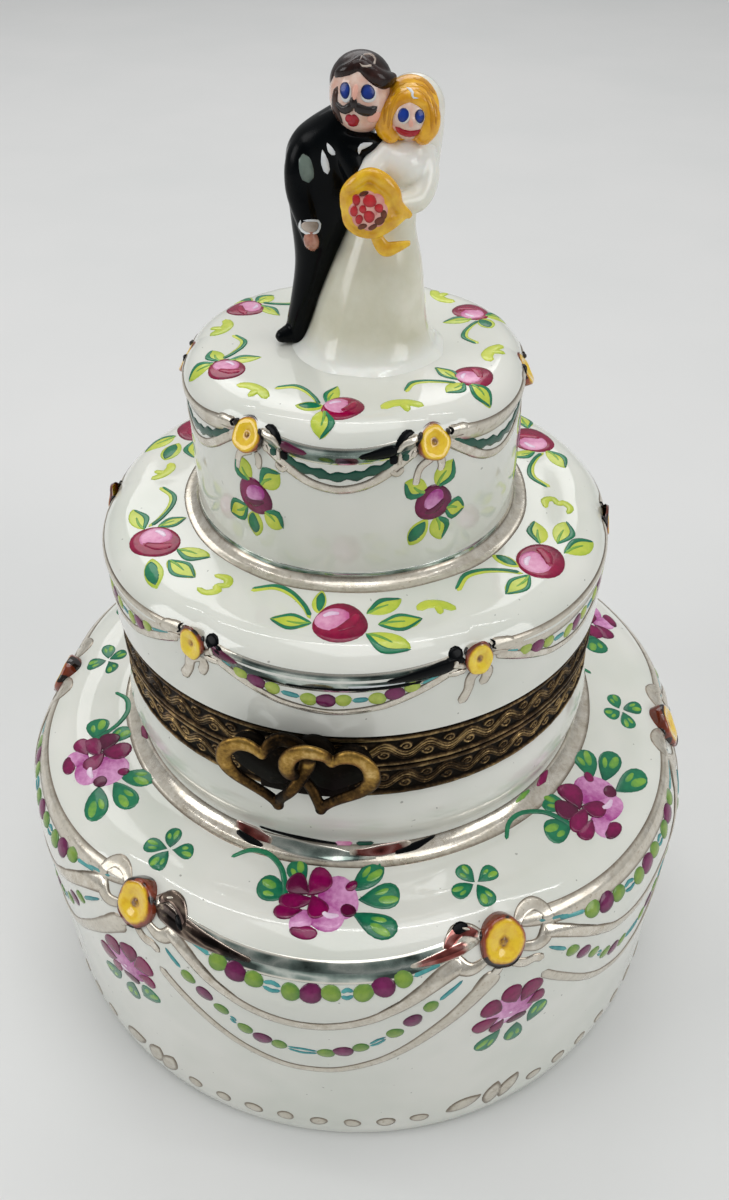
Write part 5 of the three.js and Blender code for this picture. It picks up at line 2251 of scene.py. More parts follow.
    def wall(self) -> None:
        """Garlands, lustre lines, roses and the row of dots on the wall."""
        skin = self.skin
        swags = Swags(skin, self.studio)
        for index in range(skin.swags):
            # The front swag and the back one that repeats it get painted reflections in their strips, dark
            # and red at the ends; the others are worn lustre.
            swags.strip(index, 2.15, 0.95, WORN_LUSTRE if index % 3 else PAINTED_REFLECTION_LUSTRE)
            if index % 3 == 0:
                swags.painted_strip_reflection(index, 1.9, 0.8, (-0.28, -0.88), DARK_PAINTED_REFLECTION)
                swags.painted_strip_reflection(index, 1.3, 0.5, (0.5, 0.82), RED_PAINTED_REFLECTION)
            swags.beads(index, self.GARLAND, (-0.36, 0.02, 0.37), (0.9, 0.92), True)
            swags.line(index, self.LINE, (1.4, 1.25, 1.15, 1.1, 1.15, 1.45, 2.0), (-0.78, 0.78), LUSTRE, 0.08)
            swags.beads(index, self.LOWER_GARLAND, (-0.53, -0.24, 0.17, 0.51), (0.8, 0.74), True)
            swags.line(index, self.LOWER_LINE, (1.1, 1.0, 0.9, 0.85, 1.0, 1.5, 2.4), (-0.8, 0.95),
                       WORN_LUSTRE, 0.08)
            joint = skin.phase + skin.swag_angle * (index + 0.5)
            motifs = Motifs(self.studio, f"base_wall_{index}")
            motifs.wall_rose(TierGround(skin, joint + radians(-1.0 + motifs.jitter(1.5)),
                                        -3.8 + motifs.jitter(0.4),
                                        motifs.jitter(0.1), 0.98, reach=skin.radius))
            self.foot_row(joint, motifs)

    def foot_row(self, joint: float, motifs: Motifs) -> None:
        """The row of small lustre ovals near the foot, with three lozenges under each rosette.

        Args:
            joint: angle of the rosette.
            motifs: the painter's hand.
        """
        paint = self.studio(WORN_LUSTRE)
        ground = TierGround(self.skin, joint, self.skin.up_at_height(3.3), reach=self.skin.radius)
        for x, turn in ((-2.6, 25), (0.0, 70), (1.5, 60)):
            spot = (1.1 * x, 0.75 + motifs.jitter(0.15))
            paint.dab(ground, spot, (1.85, 1.0), turn + motifs.jitter(8), 0.03, 0.08, Outline.LEAF)
        for k in range(8):
            x = 4.6 + 3.05 * k
            size = (0.86 + motifs.jitter(0.1), 0.76 + motifs.jitter(0.06))
            paint.dab(ground, (x, motifs.jitter(0.12)), size, motifs.jitter(14), 0.02, 0.06)

    def build(self) -> None:
        """Makes the ornament."""
        self.top()
        self.wall()
        skin = self.skin
        start = skin.arc + skin.flat
        self.ring(skin, self.studio(LUSTRE), start - 0.35, start + skin.cove * pi / 2 - 0.35)
        self.cove_painted_reflections(start + skin.cove * 0.85)
        legs = (((0.3, -2.0), (1.6, -2.6), (2.6, -2.5), (3.4, -2.9)),
                ((-0.3, -2.1), (-1.3, -2.7), (-2.0, -3.3)))
        loop = ((1.4, 0.7), (2.55, 1.8), (3.85, 2.0), (4.55, 0.9), (4.15, -0.5), (3.05, -1.3), (1.4, -0.9))
        widths = (0.8, 1.1, 1.4, 1.3, 1.5, 1.2, 0.8)
        # Painted reflections in the bows beside the front swag and the back one: black, red and dark streaks
        # over the lustre loop.
        dark = (
            Brushmark(LUSTRE, loop, widths, 0.03),
            Brushmark(BLACK, ((2.6, 1.9), (3.3, 2.25), (4.2, 2.0)), (0.6, 1.1, 0.7), 0.08, -1),
            Brushmark(RED_PAINTED_REFLECTION, ((1.9, 1.1), (2.6, 1.7), (3.6, 2.0), (4.7, 1.3), (5.1, 0.6)),
                      (0.7, 1.0, 1.3, 1.2, 0.7), 0.06, -1),
            Brushmark(DARK_PAINTED_REFLECTION, ((2.0, 1.2), (2.9, 2.1), (4.0, 2.0), (4.9, 1.2), (5.4, 0.4)),
                      (0.8, 1.2, 1.3, 1.1, 0.7), 0.08, 1),
            Brushmark(BLACK, ((2.0, 1.35), (2.15, 1.5)), (0.4, 0.4), 0.16, 1),
            Brushmark(BLACK, ((4.2, 1.3), (4.8, 0.75), (5.3, 0.3)), (0.3, 0.55, 0.35), 0.15, 1),
            Brushmark(WORN_LUSTRE, ((2.55, 1.85), (3.25, 2.15)), (0.12, 0.26, 0.12), 0.16),
        )
        pale = (Brushmark(WORN_LUSTRE, loop, widths, 0.03),)
        RosetteRow(
            "base", Body.BASE, skin, 4.2, 1.95, 2.2, 0.8, -14.0, ROSETTE, legs, 0.9, dark, pale
        ).build(self.studio)
        self.studio.pieces()


class LidOrnament(BaseOrnament):
    """All that is painted and moulded on the two upper tiers."""

    MID_GARLAND = Hang((0.0, 0.3, 0.5, 0.7, 0.84), (-1.25, -0.95, -0.45, 0.3, 0.9))
    MID_LINE = Hang((0.0, 0.3, 0.45, 0.6, 0.75, 0.88), (-2.35, -1.9, -1.35, -0.65, 0.1, 0.75))
    TOP_GARLAND = Hang((0.0, 0.25, 0.45, 0.65, 0.8), (-1.45, -1.2, -0.8, -0.2, 0.35))
    TOP_LINE = Hang((0.0, 0.25, 0.45, 0.6, 0.75, 0.88), (-2.45, -2.15, -1.5, -0.8, -0.1, 0.4))

    def __init__(self, mid: TierSkin, top: TierSkin) -> None:
        """Keeps both tiers and starts their paints.

        Args:
            mid: the middle tier.
            top: the top tier.
        """
        super().__init__(mid)
        self.upper = top
        self.studio = Studio("mid", Body.LID)
        self.upper_studio = Studio("top", Body.LID)

    def mid_tier(self) -> None:
        """Sprays on the flat top and garlands on the wall of the middle tier."""
        skin, swags = self.skin, Swags(self.skin, self.studio)
        for index in range(skin.swags):
            middle = skin.phase + skin.swag_angle * index
            motifs = Motifs(self.studio, f"mid_{index}")
            spray = TierGround(skin, middle + radians(0.4 + motifs.jitter(1.0)), skin.up_at_radius(16.9),
                               motifs.jitter(0.06), 1.05)
            motifs.budded_spray(spray, 1.95, True)
            motifs.squiggle(TierGround(skin, middle + radians(25.5), skin.up_at_radius(16.4),
                                       motifs.jitter(0.3), 0.95), index % 2 == 0)
            # The front swag and the back one that repeats it get painted reflections in their strips: dark
            # strokes and a white painted glint.
            swags.strip(index, 1.95, 0.65, WORN_LUSTRE if index % 3 else PAINTED_REFLECTION_LUSTRE, 0.86)
            if index % 3 == 0:
                swags.painted_strip_reflection(index, 1.4, 0.5, (0.36, 0.9), BLACK)
                swags.painted_strip_reflection(index, 0.3, -0.75, (-0.3, 0.6), BLACK)
                swags.painted_strip_reflection(index, 0.36, -0.4, (0.5, 0.1), SHIRT)
                swags.painted_strip_reflection(index, 1.1, 0.4, (-0.62, -0.86), DARK_PLUM)
            swags.beads(index, self.MID_GARLAND, (-0.5, -0.03, 0.42), (0.7, 0.62), False, PALE_BEAD)
            swags.line(index, self.MID_LINE, (0.95, 0.8, 0.65, 0.6, 0.65, 0.8, 0.95), (-0.86, 0.86), LUSTRE,
                       0.08)
        legs = (((0.7, -1.3), (-0.4, -1.85), (-0.7, -2.9), (-1.35, -4.0)),
                ((0.85, -1.2), (0.85, -2.1), (0.4, -2.9)))
        # Painted reflections in the bows beside the front swag and the back one.
        dark = (
            Brushmark(BLACK, ((1.2, 0.45), (1.75, 0.6), (2.3, 0.3)), (1.0, 1.5, 1.1), 0.08),
            Brushmark(BLACK, ((1.9, 0.3), (2.9, -0.1)), (1.1, 1.0), 0.07),
            Brushmark(WORN_LUSTRE, ((0.95, -0.7), (1.5, -0.35), (1.9, -0.1), (1.7, 0.25)),
                      (0.5, 0.6, 0.6, 0.3), 0.14),
            Brushmark(LUSTRE, ((0.9, -1.0), (1.8, -1.0), (2.6, -0.85)), (0.45, 0.55, 0.4), 0.1),
        )
        pale = (
            Brushmark(WORN_LUSTRE, ((0.9, 0.45), (1.5, 0.4), (2.2, 0.2), (3.2, 0.05)), (1.0, 1.3, 1.4, 1.1),
                      0.03),
            Brushmark(BLACK, ((1.15, 0.95), (1.4, 0.6), (1.15, 0.35), (1.5, 0.15)), (0.12, 0.2, 0.16, 0.1),
                      0.12),
            Brushmark(LUSTRE, ((0.9, -0.2), (1.7, -0.25), (2.6, -0.5)), (0.5, 0.6, 0.5), 0.06),
        )
        RosetteRow(
            "mid", Body.LID, skin, 1.05, 1.1, 1.3, 0.58, 22.0, MID_ROSETTE, legs, 0.92, dark, pale
        ).build(self.studio)
        start, rim = skin.arc + skin.flat, skin.cove * pi / 2
        self.ring(skin, self.studio(LUSTRE), start - 0.45, start + rim * 0.8)
        # The inner ring shows painted reflections at the front.
        self.ring(skin, self.studio(PAINTED_REFLECTION_LUSTRE), start + rim * 0.7, start + rim * 1.05)
        self.studio.pieces()

    def top_tier(self) -> None:
        """Sprays, wavy garlands and wall buds on the top tier."""
        skin, studio = self.upper, self.upper_studio
        swags = Swags(skin, studio)
        for index in range(skin.swags):
            middle = skin.phase + skin.swag_angle * index
            motifs = Motifs(studio, f"top_{index}")
            spray = TierGround(skin, middle + radians(1.5 + motifs.jitter(1.5)), skin.up_at_radius(10.0),
                               motifs.jitter(0.08), 0.87)
            motifs.budded_spray(spray, 1.7, False)
            motifs.squiggle(TierGround(skin, middle + radians(23), skin.up_at_radius(10.3),
                                       motifs.jitter(0.3), 0.95), True)
            # The front swag and the back one that repeats it get painted reflections in their strips, dark
            # near the ends.
            swags.strip(index, 1.5, 0.5, WORN_LUSTRE if index % 3 else PAINTED_REFLECTION_LUSTRE, 0.86)
            if index % 3 == 0:
                swags.painted_strip_reflection(index, 1.15, 0.35, (0.2, 0.62), BLACK)
                swags.painted_strip_reflection(index, 1.0, 0.3, (-0.3, -0.62), DARK_PLUM)
            shares = np.linspace(-0.78, 0.78, 19)
            wave = [(t * swags.half, self.TOP_GARLAND.at(t) + 0.05 * sin(t * 22)) for t in shares]
            studio(FOREST).stroke(swags.ground(index), wave, [0.5 + 0.45 * (k % 2) for k in range(19)], 0.02,
                                  0.05)
            swags.line(index, self.TOP_LINE, (0.95, 0.85, 0.75, 0.7, 0.75, 0.85, 0.95), (-0.87, 0.87), LUSTRE,
                       0.07)
            joint = skin.phase + skin.swag_angle * (index + 0.5)
            motifs.wall_bud(TierGround(skin, joint + radians(motifs.jitter(3)), -4.3, motifs.jitter(0.3),
                                       1.12, skin.radius), 1.32)
        legs = (((0.2, -1.25), (-0.95, -1.8), (-1.35, -3.2)), ((0.6, -1.2), (0.75, -1.9), (0.6, -2.5)))
        # Painted reflections in the bows beside the front swag and the back one.
        dark = (
            Brushmark(BLACK, ((0.9, 0.2), (1.4, 0.4)), (1.0, 0.8), 0.09),
            Brushmark(BLACK, ((1.4, 0.95), (1.95, 1.0), (2.55, 0.45), (2.85, -0.1)), (0.3, 0.6, 0.6, 0.5),
                      0.07),
            Brushmark(FOREST, ((2.05, -0.4), (2.1, -1.1)), (0.55, 0.6), 0.08),
            Brushmark(BLACK, ((2.9, -0.4), (2.95, -1.2)), (0.6, 0.6), 0.08),
            Brushmark(WORN_LUSTRE, ((1.2, 0.75), (1.55, 0.5), (2.3, 0.35), (2.8, -0.2)),
                      (0.4, 0.5, 0.36, 0.3), 0.14),
            Brushmark(WORN_LUSTRE, ((2.5, -0.3), (2.55, -1.3)), (0.26, 0.3), 0.14),
            Brushmark(WORN_LUSTRE, ((1.3, -0.3), (1.6, -0.9)), (0.55, 0.5), 0.1),
            Brushmark(LUSTRE, ((3.2, -1.55), (2.7, -1.9), (2.2, -1.5)), (0.3, 0.5, 0.4), 0.1),
        )
        pale = (
            Brushmark(WORN_LUSTRE, ((1.0, 0.5), (1.6, 0.35), (2.2, 0.4), (2.9, 0.3)), (0.7, 1.0, 1.0, 0.8),
                      0.03),
            Brushmark(BLACK, ((1.2, 0.8), (1.45, 0.5), (1.2, 0.3)), (0.14, 0.2, 0.12), 0.12),
            Brushmark(LUSTRE, ((0.8, -0.4), (1.4, -0.5), (2.2, -1.1)), (0.4, 0.6, 0.6), 0.06),
        )
        RosetteRow(
            "top", Body.LID, skin, 0.5, 1.24, 1.26, 0.55, 18.0, TOP_ROSETTE, legs, 0.62, dark, pale
        ).build(studio)
        studio.pieces()

    def build(self) -> None:
        """Makes the ornament."""
        self.mid_tier()
        self.top_tier()


# The couple


class Couple:
    """The bride and groom, fused to the top tier. Sizes are in the couple's own frame, from the middle
    of the top tier."""

    GROOM_HEAD = ((0.49, -0.9, 16.3), (1.93, 1.93, 2.2))
    BRIDE_HEAD = ((3.55, -1.25, 15.3), (1.47, 1.5, 1.45))

    def __init__(self, sizes: BoxSizes) -> None:
        """Finds where the couple stands and starts its paints.

        Args:
            sizes: the measures of the box.
        """
        turn = Matrix.Rotation(sizes.figure_turn, 4, "Z")
        self.place = Matrix.Translation((0, 0, sizes.figure_foot)) @ turn
        self.studio = Studio("couple", Body.LID, Slot.SKIN)

    def gown(self) -> None:
        """The gown with the bride's chest and arms."""
        clay = Modelled("bride_figure", self.place)

        def folds(z: float, around: float) -> float:
            """Soft folds that fade up the gown."""
            return 0.012 * max(0.0, 1 - z / 9) * (sin(7 * around) + 0.6 * sin(11 * around + 1))

        clay.loft(
            [(1.0, -0.6, -0.5, 6.0, 5.7), (1.0, -0.6, -0.15, 5.6, 5.3), (1.02, -0.6, 0.1, 5.1, 4.85),
             (1.05, -0.6, 0.5, 4.65, 4.4),
             (1.12, -0.6, 1.7, 4.15, 3.85), (1.3, -0.6, 3.6, 3.7, 3.4),
             (1.65, -0.6, 6.0, 3.05, 2.8), (1.95, -0.6, 8.4, 2.25, 2.05), (2.45, -0.6, 10.2, 2.0, 1.75),
             (2.9, -0.65, 11.9, 2.3, 1.75), (3.3, -0.7, 13.1, 1.9, 1.6), (3.5, -0.75, 13.9, 1.1, 1.1)],
            folds,
        )
        clay.limb([(4.4, -0.6, 13.0, 1.0), (4.6, -1.3, 11.6, 1.0), (4.1, -2.3, 10.6, 0.85),
                   (3.0, -3.2, 10.6, 0.62)])
        clay.limb([(2.0, -1.5, 13.0, 0.95), (1.2, -2.2, 12.3, 0.85), (0.7, -2.7, 11.7, 0.7)])
        clay.lump(Lump((3.0, -1.6, 12.4), (1.7, 1.2, 1.3)))
        clay.fuse(IVORY, Body.LID, Slot.IVORY, ["bride_gown"])

    def suit(self) -> BVHTree:
        """The groom's suit with his arms, legs and shoe.

        Returns:
            A search tree of its surface.
        """
        clay = Modelled("groom_figure", self.place)
        clay.loft(
            [(-4.15, 0.1, 0.0, 0.8, 1.0), (-3.95, 0.1, 1.5, 0.9, 1.15), (-3.5, 0.1, 3.0, 1.02, 1.3),
             (-2.7, 0.1, 5.8, 1.38, 1.5),
             (-2.1, 0.0, 8.8, 2.15, 1.75), (-1.8, 0.0, 10.8, 2.6, 1.9), (-1.6, -0.1, 12.8, 2.75, 1.9),
             (-1.15, -0.2, 14.0, 2.6, 1.8), (-0.7, -0.3, 14.8, 2.05, 1.55), (-0.1, -0.45, 15.6, 1.25, 1.2)]
        )
        clay.limb([(-5.25, -0.6, 0.5, 0.5), (-4.7, -0.35, 0.6, 0.65), (-4.1, 0.0, 0.7, 0.75)])
        clay.limb([(-2.5, -0.5, 13.7, 1.0), (-3.2, -0.8, 12.6, 1.12), (-3.4, -1.0, 10.8, 1.05),
                   (-2.95, -1.5, 8.6, 0.75),
                   (-2.8, -1.65, 7.8, 0.6)])
        clay.limb([(-0.6, -1.4, 13.6, 0.9), (0.2, -1.9, 12.2, 0.85), (0.6, -1.6, 10.8, 0.7)])
        clay.limb([(-1.5, -0.9, 14.2, 0.85), (-0.4, -1.5, 13.85, 0.8), (0.7, -1.65, 13.7, 0.75),
                   (1.5, -1.4, 13.7, 0.55)])
        return clay.fuse(BLACK, Body.LID, Slot.BLACK, ["groom_suit"])[1]

    def heads(self) -> None:
        """Both heads with their noses and necks."""
        clay = Modelled("groom_face", self.place, 0.09, 5)
        (x, y, z), radii = self.GROOM_HEAD
        clay.lump(Lump((x, y, z), radii))
        clay.lump(Lump((x - 0.28, y - 1.7, z + 0.3), (0.22, 0.27, 0.36)))
        clay.limb([(x - 0.25, y + 0.35, z - 1.4, 1.1), (x - 0.5, y + 0.5, z - 2.2, 1.15)])
        clay.fuse(SKIN, Body.LID, Slot.SKIN, ["groom_head"])
        clay = Modelled("bride_face", self.place, 0.08, 5)
        (x, y, z), radii = self.BRIDE_HEAD
        clay.lump(Lump((x, y, z), radii))
        clay.lump(Lump((x + 0.1, y - 1.42, z + 0.05), (0.16, 0.18, 0.22)))
        clay.limb([(x, y + 0.2, z - 1.0, 0.8), (x, y + 0.35, z - 1.9, 0.85)])
        clay.fuse(SKIN, Body.LID, Slot.SKIN, ["bride_head"])

    def hair(self, name: str, finish: Finish, head: tuple, crown: Lump,
             locks: Sequence[Sequence[Sequence[float]]]) -> CastGround:
        """Hair as a crown with locks laid over it.

        Args:
            name: the piece's name.
            finish: its finish.
            head: centre and radii of the head.
            crown: the mass of hair behind the face.
            locks: for each lock its stations: degrees round and up from the face, lift and radius.
        Returns:
            The hair as a ground to paint on, seen from above the face.
        """
        clay = Modelled(name, self.place, 0.085, 9)
        clay.lump(crown)
        skin = HeadGround(head[0], head[1], self.place)
        for lock in locks:
            turn, rise, lift, radius = np.array(lock).T
            points = skin.local(np.radians(turn), np.radians(rise), lift)
            clay.limb(np.column_stack([points, radius]))
        tree = clay.fuse(finish, Body.LID, Slot.SKIN, [])[1]
        return CastGround(tree, head[0], (0.0, 0.968, -0.25), self.place)

    def groom_hair(self) -> None:
        """Dark hair with a middle parting, swept to both sides."""
        x, y, z = self.GROOM_HEAD[0]
        locks = (
            ((2, 68, -0.12, 0.44), (-14, 60, -0.12, 0.46), (-32, 51, -0.12, 0.44), (-52, 44, -0.1, 0.38),
             (-66, 38, -0.12, 0.28)),
            ((0, 70, -0.12, 0.44), (18, 54, -0.12, 0.5), (37, 38, -0.1, 0.56), (58, 28, -0.02, 0.52),
             (84, 24, 0.25, 0.3)),
        )
        crown = Lump((x + 0.06, y + 0.4, z + 0.62), (1.97, 1.8, 1.76))
        ground = self.hair("groom_hair", DARK_HAIR, self.GROOM_HEAD, crown, locks)
        # A pale loop on the crown: a painted highlight.
        curl = [(-0.03, 1.65), (0.22, 1.47), (0.77, 1.55), (0.92, 1.87), (0.67, 2.13), (0.22, 2.1),
                (-0.02, 1.77)]
        self.studio(CUFF).stroke(ground, curl, [0.1, 0.14, 0.12, 0.1], 0.02, 0.02)

    def bride_hair(self) -> None:
        """A golden bob with a fringe, open at the face."""
        locks = (
            ((-60, 24, -0.1, 0.46), (-44, 45, -0.12, 0.48), (-22, 56, -0.12, 0.48), (-4, 60, -0.12, 0.44)),
            ((0, 62, -0.12, 0.46), (18, 57, -0.12, 0.5), (38, 47, -0.1, 0.52), (56, 28, -0.05, 0.52)),
            ((-56, 30, -0.05, 0.5), (-70, 4, 0.05, 0.62), (-76, -20, 0.15, 0.72), (-70, -38, 0.12, 0.62)),
            ((54, 32, -0.05, 0.5), (60, 6, 0.02, 0.6), (58, -20, 0.05, 0.66), (50, -42, 0.05, 0.6)),
        )
        crown = Lump((3.6, -0.75, 15.42), (1.95, 1.65, 1.97))
        ground = self.hair("bride_hair", GOLD_HAIR, self.BRIDE_HEAD, crown, locks)
        for path in (
            [(-0.2, 1.7), (-0.9, 1.4), (-1.45, 0.5), (-1.6, -0.6)],
            [(-0.1, 1.35), (-0.8, 1.0), (-1.2, 0.2), (-1.35, -0.9)],
            [(0.2, 1.7), (1.0, 1.35), (1.5, 0.4), (1.6, -0.7)],
            [(0.25, 1.35), (0.9, 1.0), (1.3, 0.1), (1.3, -0.9)],
            [(0.1, 1.95), (0.9, 1.75), (1.6, 1.0)],
        ):
            self.studio(HAIR_SHADE).stroke(ground, path, [0.08, 0.2, 0.26, 0.1], 0.01, 0.015)
        # A painted white highlight on the hair.
        self.studio(SHIRT).stroke(ground, [(-0.25, 1.45), (0.1, 1.2), (0.12, 0.9), (0.5, 0.85)],
                                  [0.08, 0.2, 0.14, 0.05], 0.02, 0.015)

    def veil(self) -> None:
        """The veil, close over the hair and down the back."""
        clay = Modelled("bride_veil_drape", self.place, 0.12, 10)
        clay.lump(Lump((3.8, -0.3, 15.3), (2.08, 1.7, 2.1)))
        clay.loft([(3.6, 0.3, 8.8, 0.5, 0.4), (3.9, 0.3, 10.0, 1.15, 0.85), (3.95, 0.15, 11.5, 1.6, 1.15),
                   (3.95, 0.0, 13.2, 1.8, 1.35),
                   (3.88, -0.15, 14.8, 1.95, 1.42), (3.8, -0.25, 16.0, 1.6, 1.2)])
        clay.fuse(VEIL, Body.LID, Slot.IVORY, ["bride_veil"])

    def face_ground(self, head: tuple, turn: float, rise: float) -> HeadGround:
        """A spot on a face, at degrees round and up from its front."""
        return HeadGround(head[0], head[1], self.place, radians(turn), radians(rise))

    def groom_features(self) -> None:
        """Eyes, nose, moustache, lips and sideburn."""
        paint, head = self.studio, self.GROOM_HEAD
        for turn, rise, tilt, tall, wide in ((-30, 17, 100, 0.45, 0.37), (15, 15.5, 84, 0.41, 0.46)):
            eye = self.face_ground(head, turn, rise)
            shift = 0.08 if turn < 0 else 0.04
            paint(EYE_WHITE).dab(eye, (shift, -0.12), (tall + 0.03, wide + 0.06), tilt, 0.01, 0.01)
            paint(COBALT).dab(eye, (0, 0), (tall, wide), tilt, 0.02, 0.01)
        paint(BLUSH).dab(self.face_ground(head, -9, 16), (0, 0), (0.4, 0.16), 84, 0.12, 0.06)
        paint(BLUSH).dab(self.face_ground(head, 30, -24), (0, 0), (0.5, 0.35), 0, 0.01, 0.02)
        lip = self.face_ground(head, -12, -5)
        for path, widths in (
            ([(0.0, 0.12), (-0.35, -0.1), (-0.72, -0.24), (-1.12, -0.06), (-1.42, 0.14)],
             [0.5, 0.52, 0.46, 0.36, 0.2]),
            ([(0.0, 0.12), (0.35, -0.1), (0.83, -0.26), (1.26, -0.22), (1.58, -0.06)],
             [0.5, 0.56, 0.58, 0.52, 0.3]),
        ):
            paint(SOOT).stroke(lip, path, widths, 0.04, 0.08)
        paint(SOOT).dab(lip, (0.0, 0.22), (0.3, 0.26), 90, 0.05, 0.08)
        mouth = self.face_ground(head, -17, -28)
        for side in (-1, 1):
            paint(LIP).dab(mouth, (side * 0.19, 0.12), (0.3, 0.25), -side * 25, 0.03, 0.06)
        paint(LIP).dab(mouth, (0.02, -0.14), (0.36, 0.27), 0, 0.04, 0.06)
        side_hair = [(0.15, 1.0), (0.0, 0.4), (-0.05, -0.3), (0.25, -1.05)]
        paint(BROWN_HAIR).stroke(self.face_ground(head, -54, -8), side_hair, [0.34, 0.6, 0.85, 0.3], 0.03,
                                 0.05)

    def bride_features(self) -> None:
        """Eyes, a smile and pink cheeks."""
        paint, head = self.studio, self.BRIDE_HEAD
        for turn, rise, tall, wide in ((-18, 12, 0.42, 0.37), (24, 8.5, 0.4, 0.33)):
            eye = self.face_ground(head, turn, rise)
            paint(EYE_WHITE).dab(eye, (0.06, -0.06), (tall + 0.01, wide + 0.02), 88, 0.01, 0.01)
            paint(COBALT).dab(eye, (0, 0), (tall, wide), 88, 0.02, 0.01)
        smile = [(-0.8, 0.2), (-0.38, -0.1), (0.06, -0.24), (0.5, -0.18), (0.84, 0.06)]
        mouth = self.face_ground(head, -7, -25)
        paint(LIP).stroke(mouth, smile, [0.3, 0.46, 0.58, 0.48, 0.2], 0.03, 0.05)
        paint(BLUSH).dab(self.face_ground(head, -52, -22), (0, 0), (0.3, 0.24), 0, 0.01, 0.02)
        paint(BLUSH).dab(self.face_ground(head, 2, -5), (0, 0), (0.22, 0.14), 90, 0.06, 0.04)

    def suit_details(self, suit: BVHTree) -> None:
        """Shirt points, lapels, the cuff and the hand, and a painted grey green glint where the glaze catches
        the light.

        Args:
            suit: a search tree of the suit's surface.
        """
        paint = self.studio

        def ground(x: float, z: float) -> CastGround:
            """A spot on the suit, seen from the front."""
            return CastGround(suit, (x, -1.5, z), (0, 1, 0), self.place)

        shirt = paint(SHIRT)
        shirt.stroke(ground(-1.3, 13.35), [(-0.3, 0.5), (-0.05, 0.05), (0.2, -0.15)], [0.1, 0.4, 0.34], 0.04,
                     0.02)
        shirt.stroke(ground(-1.75, 12.6), [(-0.15, 0.85), (-0.02, 0.1), (0.14, -0.6)], [0.1, 0.54, 0.4], 0.04,
                     0.02)
        shirt.stroke(ground(0.72, 13.7), [(-0.32, -0.42), (-0.2, 0.02), (0.55, 0.2)], [0.1, 0.4, 0.1], 0.04,
                     0.02)
        # A painted glint on the suit.
        glint = paint(GLINT)
        glint.stroke(ground(-2.95, 12.2), [(-0.2, 0.95), (-0.05, 0.3), (0.12, -0.75)], [0.7, 1.0, 0.85], 0.03,
                     0.02)
        cuff = ground(-2.85, 8.75)
        rim = [(-0.6, 0.45), (-0.62, -0.1), (-0.2, -0.36), (0.45, -0.34), (0.62, 0.2), (0.1, 0.42),
               (-0.45, 0.42)]
        paint(CUFF).dab(cuff, (0.0, 0.03), (0.6, 0.38), 0, 0.04, 0.04)
        shirt.stroke(cuff, rim, [0.14, 0.18, 0.18, 0.16, 0.14, 0.12], 0.07, 0.05)
        paint(HAND).dab(ground(-2.8, 7.75), (0, 0), (0.78, 0.52), 92, 0.04, 0.22)

    def bouquet(self) -> None:
        """The bouquet: a gathered yellow wrap with a ribbon, and a posy of red flowers painted in it."""
        clay = Modelled("bouquet_wrap", self.place, 0.09, 4)
        x, y, z = 1.05, -4.1, 10.9
        clay.lump(Lump((x - 0.05, y + 0.05, z - 0.1), (1.75, 0.85, 1.75)))
        ruffle = [(-1.6, 0.1, -0.2, 0.28), (-1.5, -0.05, 0.7, 0.34), (-0.85, -0.25, 1.4, 0.42),
                  (0.0, -0.3, 1.85, 0.4),
                  (0.85, -0.3, 1.45, 0.5), (1.5, -0.2, 0.75, 0.46), (1.75, 0.0, -0.1, 0.42),
                  (2.5, 0.45, -0.85, 0.26)]
        fold = [(-1.6, 0.1, -0.3, 0.24), (-1.35, -0.1, -1.15, 0.3), (-0.6, -0.15, -1.7, 0.32),
                (0.4, -0.15, -1.75, 0.34),
                (1.4, -0.05, -1.25, 0.36), (2.35, 0.4, -0.8, 0.22)]
        crease = [(0.5, -0.3, -1.55, 0.16), (1.2, -0.35, -1.0, 0.2), (1.9, -0.1, -0.75, 0.2)]
        tail = [(0.35, 0.3, -1.75, 0.4), (0.6, 0.15, -2.4, 0.44), (1.05, 0.1, -2.9, 0.5),
                (1.7, 0.15, -2.8, 0.4),
                (2.5, 0.3, -2.6, 0.22)]
        for path, flat in ((ruffle, 1.0), (fold, 1.0), (crease, 1.0), (tail, 0.6)):
            clay.limb([(x + a, y + b, z + c, r) for a, b, c, r in path], flat)
        tree = clay.fuse(WRAP, Body.LID, Slot.YELLOW, ["bouquet"])[1]
        ground = CastGround(tree, (x - 0.08, y - 1.0, z - 0.1), (0.0, 0.947, -0.322), self.place)
        for turn in range(0, 360, 45):
            c, s = compass(turn)
            spot = (0.64 * c, 0.58 * s)
            self.studio(POSY).dab(ground, spot, (0.6, 0.54), turn, 0.04, 0.06)
        self.studio(POSY).dab(ground, (0, 0), (0.7, 0.7), 0, 0.06, 0.08)
        blooms = self.studio(BLOOM)
        for cx, cy, wide, tall in (
            (-0.8, 0.72, 0.26, 0.36), (0.1, 0.66, 0.48, 0.4), (-0.36, 0.14, 0.26, 0.26),
            (-0.95, 0.02, 0.24, 0.36),
            (0.06, -0.32, 0.36, 0.42), (-0.62, -0.5, 0.26, 0.3), (0.72, 0.2, 0.28, 0.3),
        ):
            blooms.dab(ground, (0.9 * cx, 0.88 * cy), (0.95 * wide, 0.9 * tall), 0, 0.13, 0.05)
        withered = self.studio(BROWN)
        for cx, cy, wide, tall in ((1.05, -0.2, 0.2, 0.26), (0.78, -0.62, 0.36, 0.22),
                                   (-0.4, -0.98, 0.3, 0.16), (0.3, -1.02, 0.3, 0.15),
                                   (-0.3, 1.12, 0.3, 0.14)):
            withered.dab(ground, (0.9 * cx, 0.88 * cy), (wide, tall), 20, 0.1, 0.05)

    def build(self) -> None:
        """Makes the couple."""
        self.gown()
        suit = self.suit()
        self.heads()
        self.groom_hair()
        self.bride_hair()
        self.veil()
        self.groom_features()
        self.bride_features()
        self.suit_details(suit)
        self.bouquet()
        self.studio.pieces()


# The room


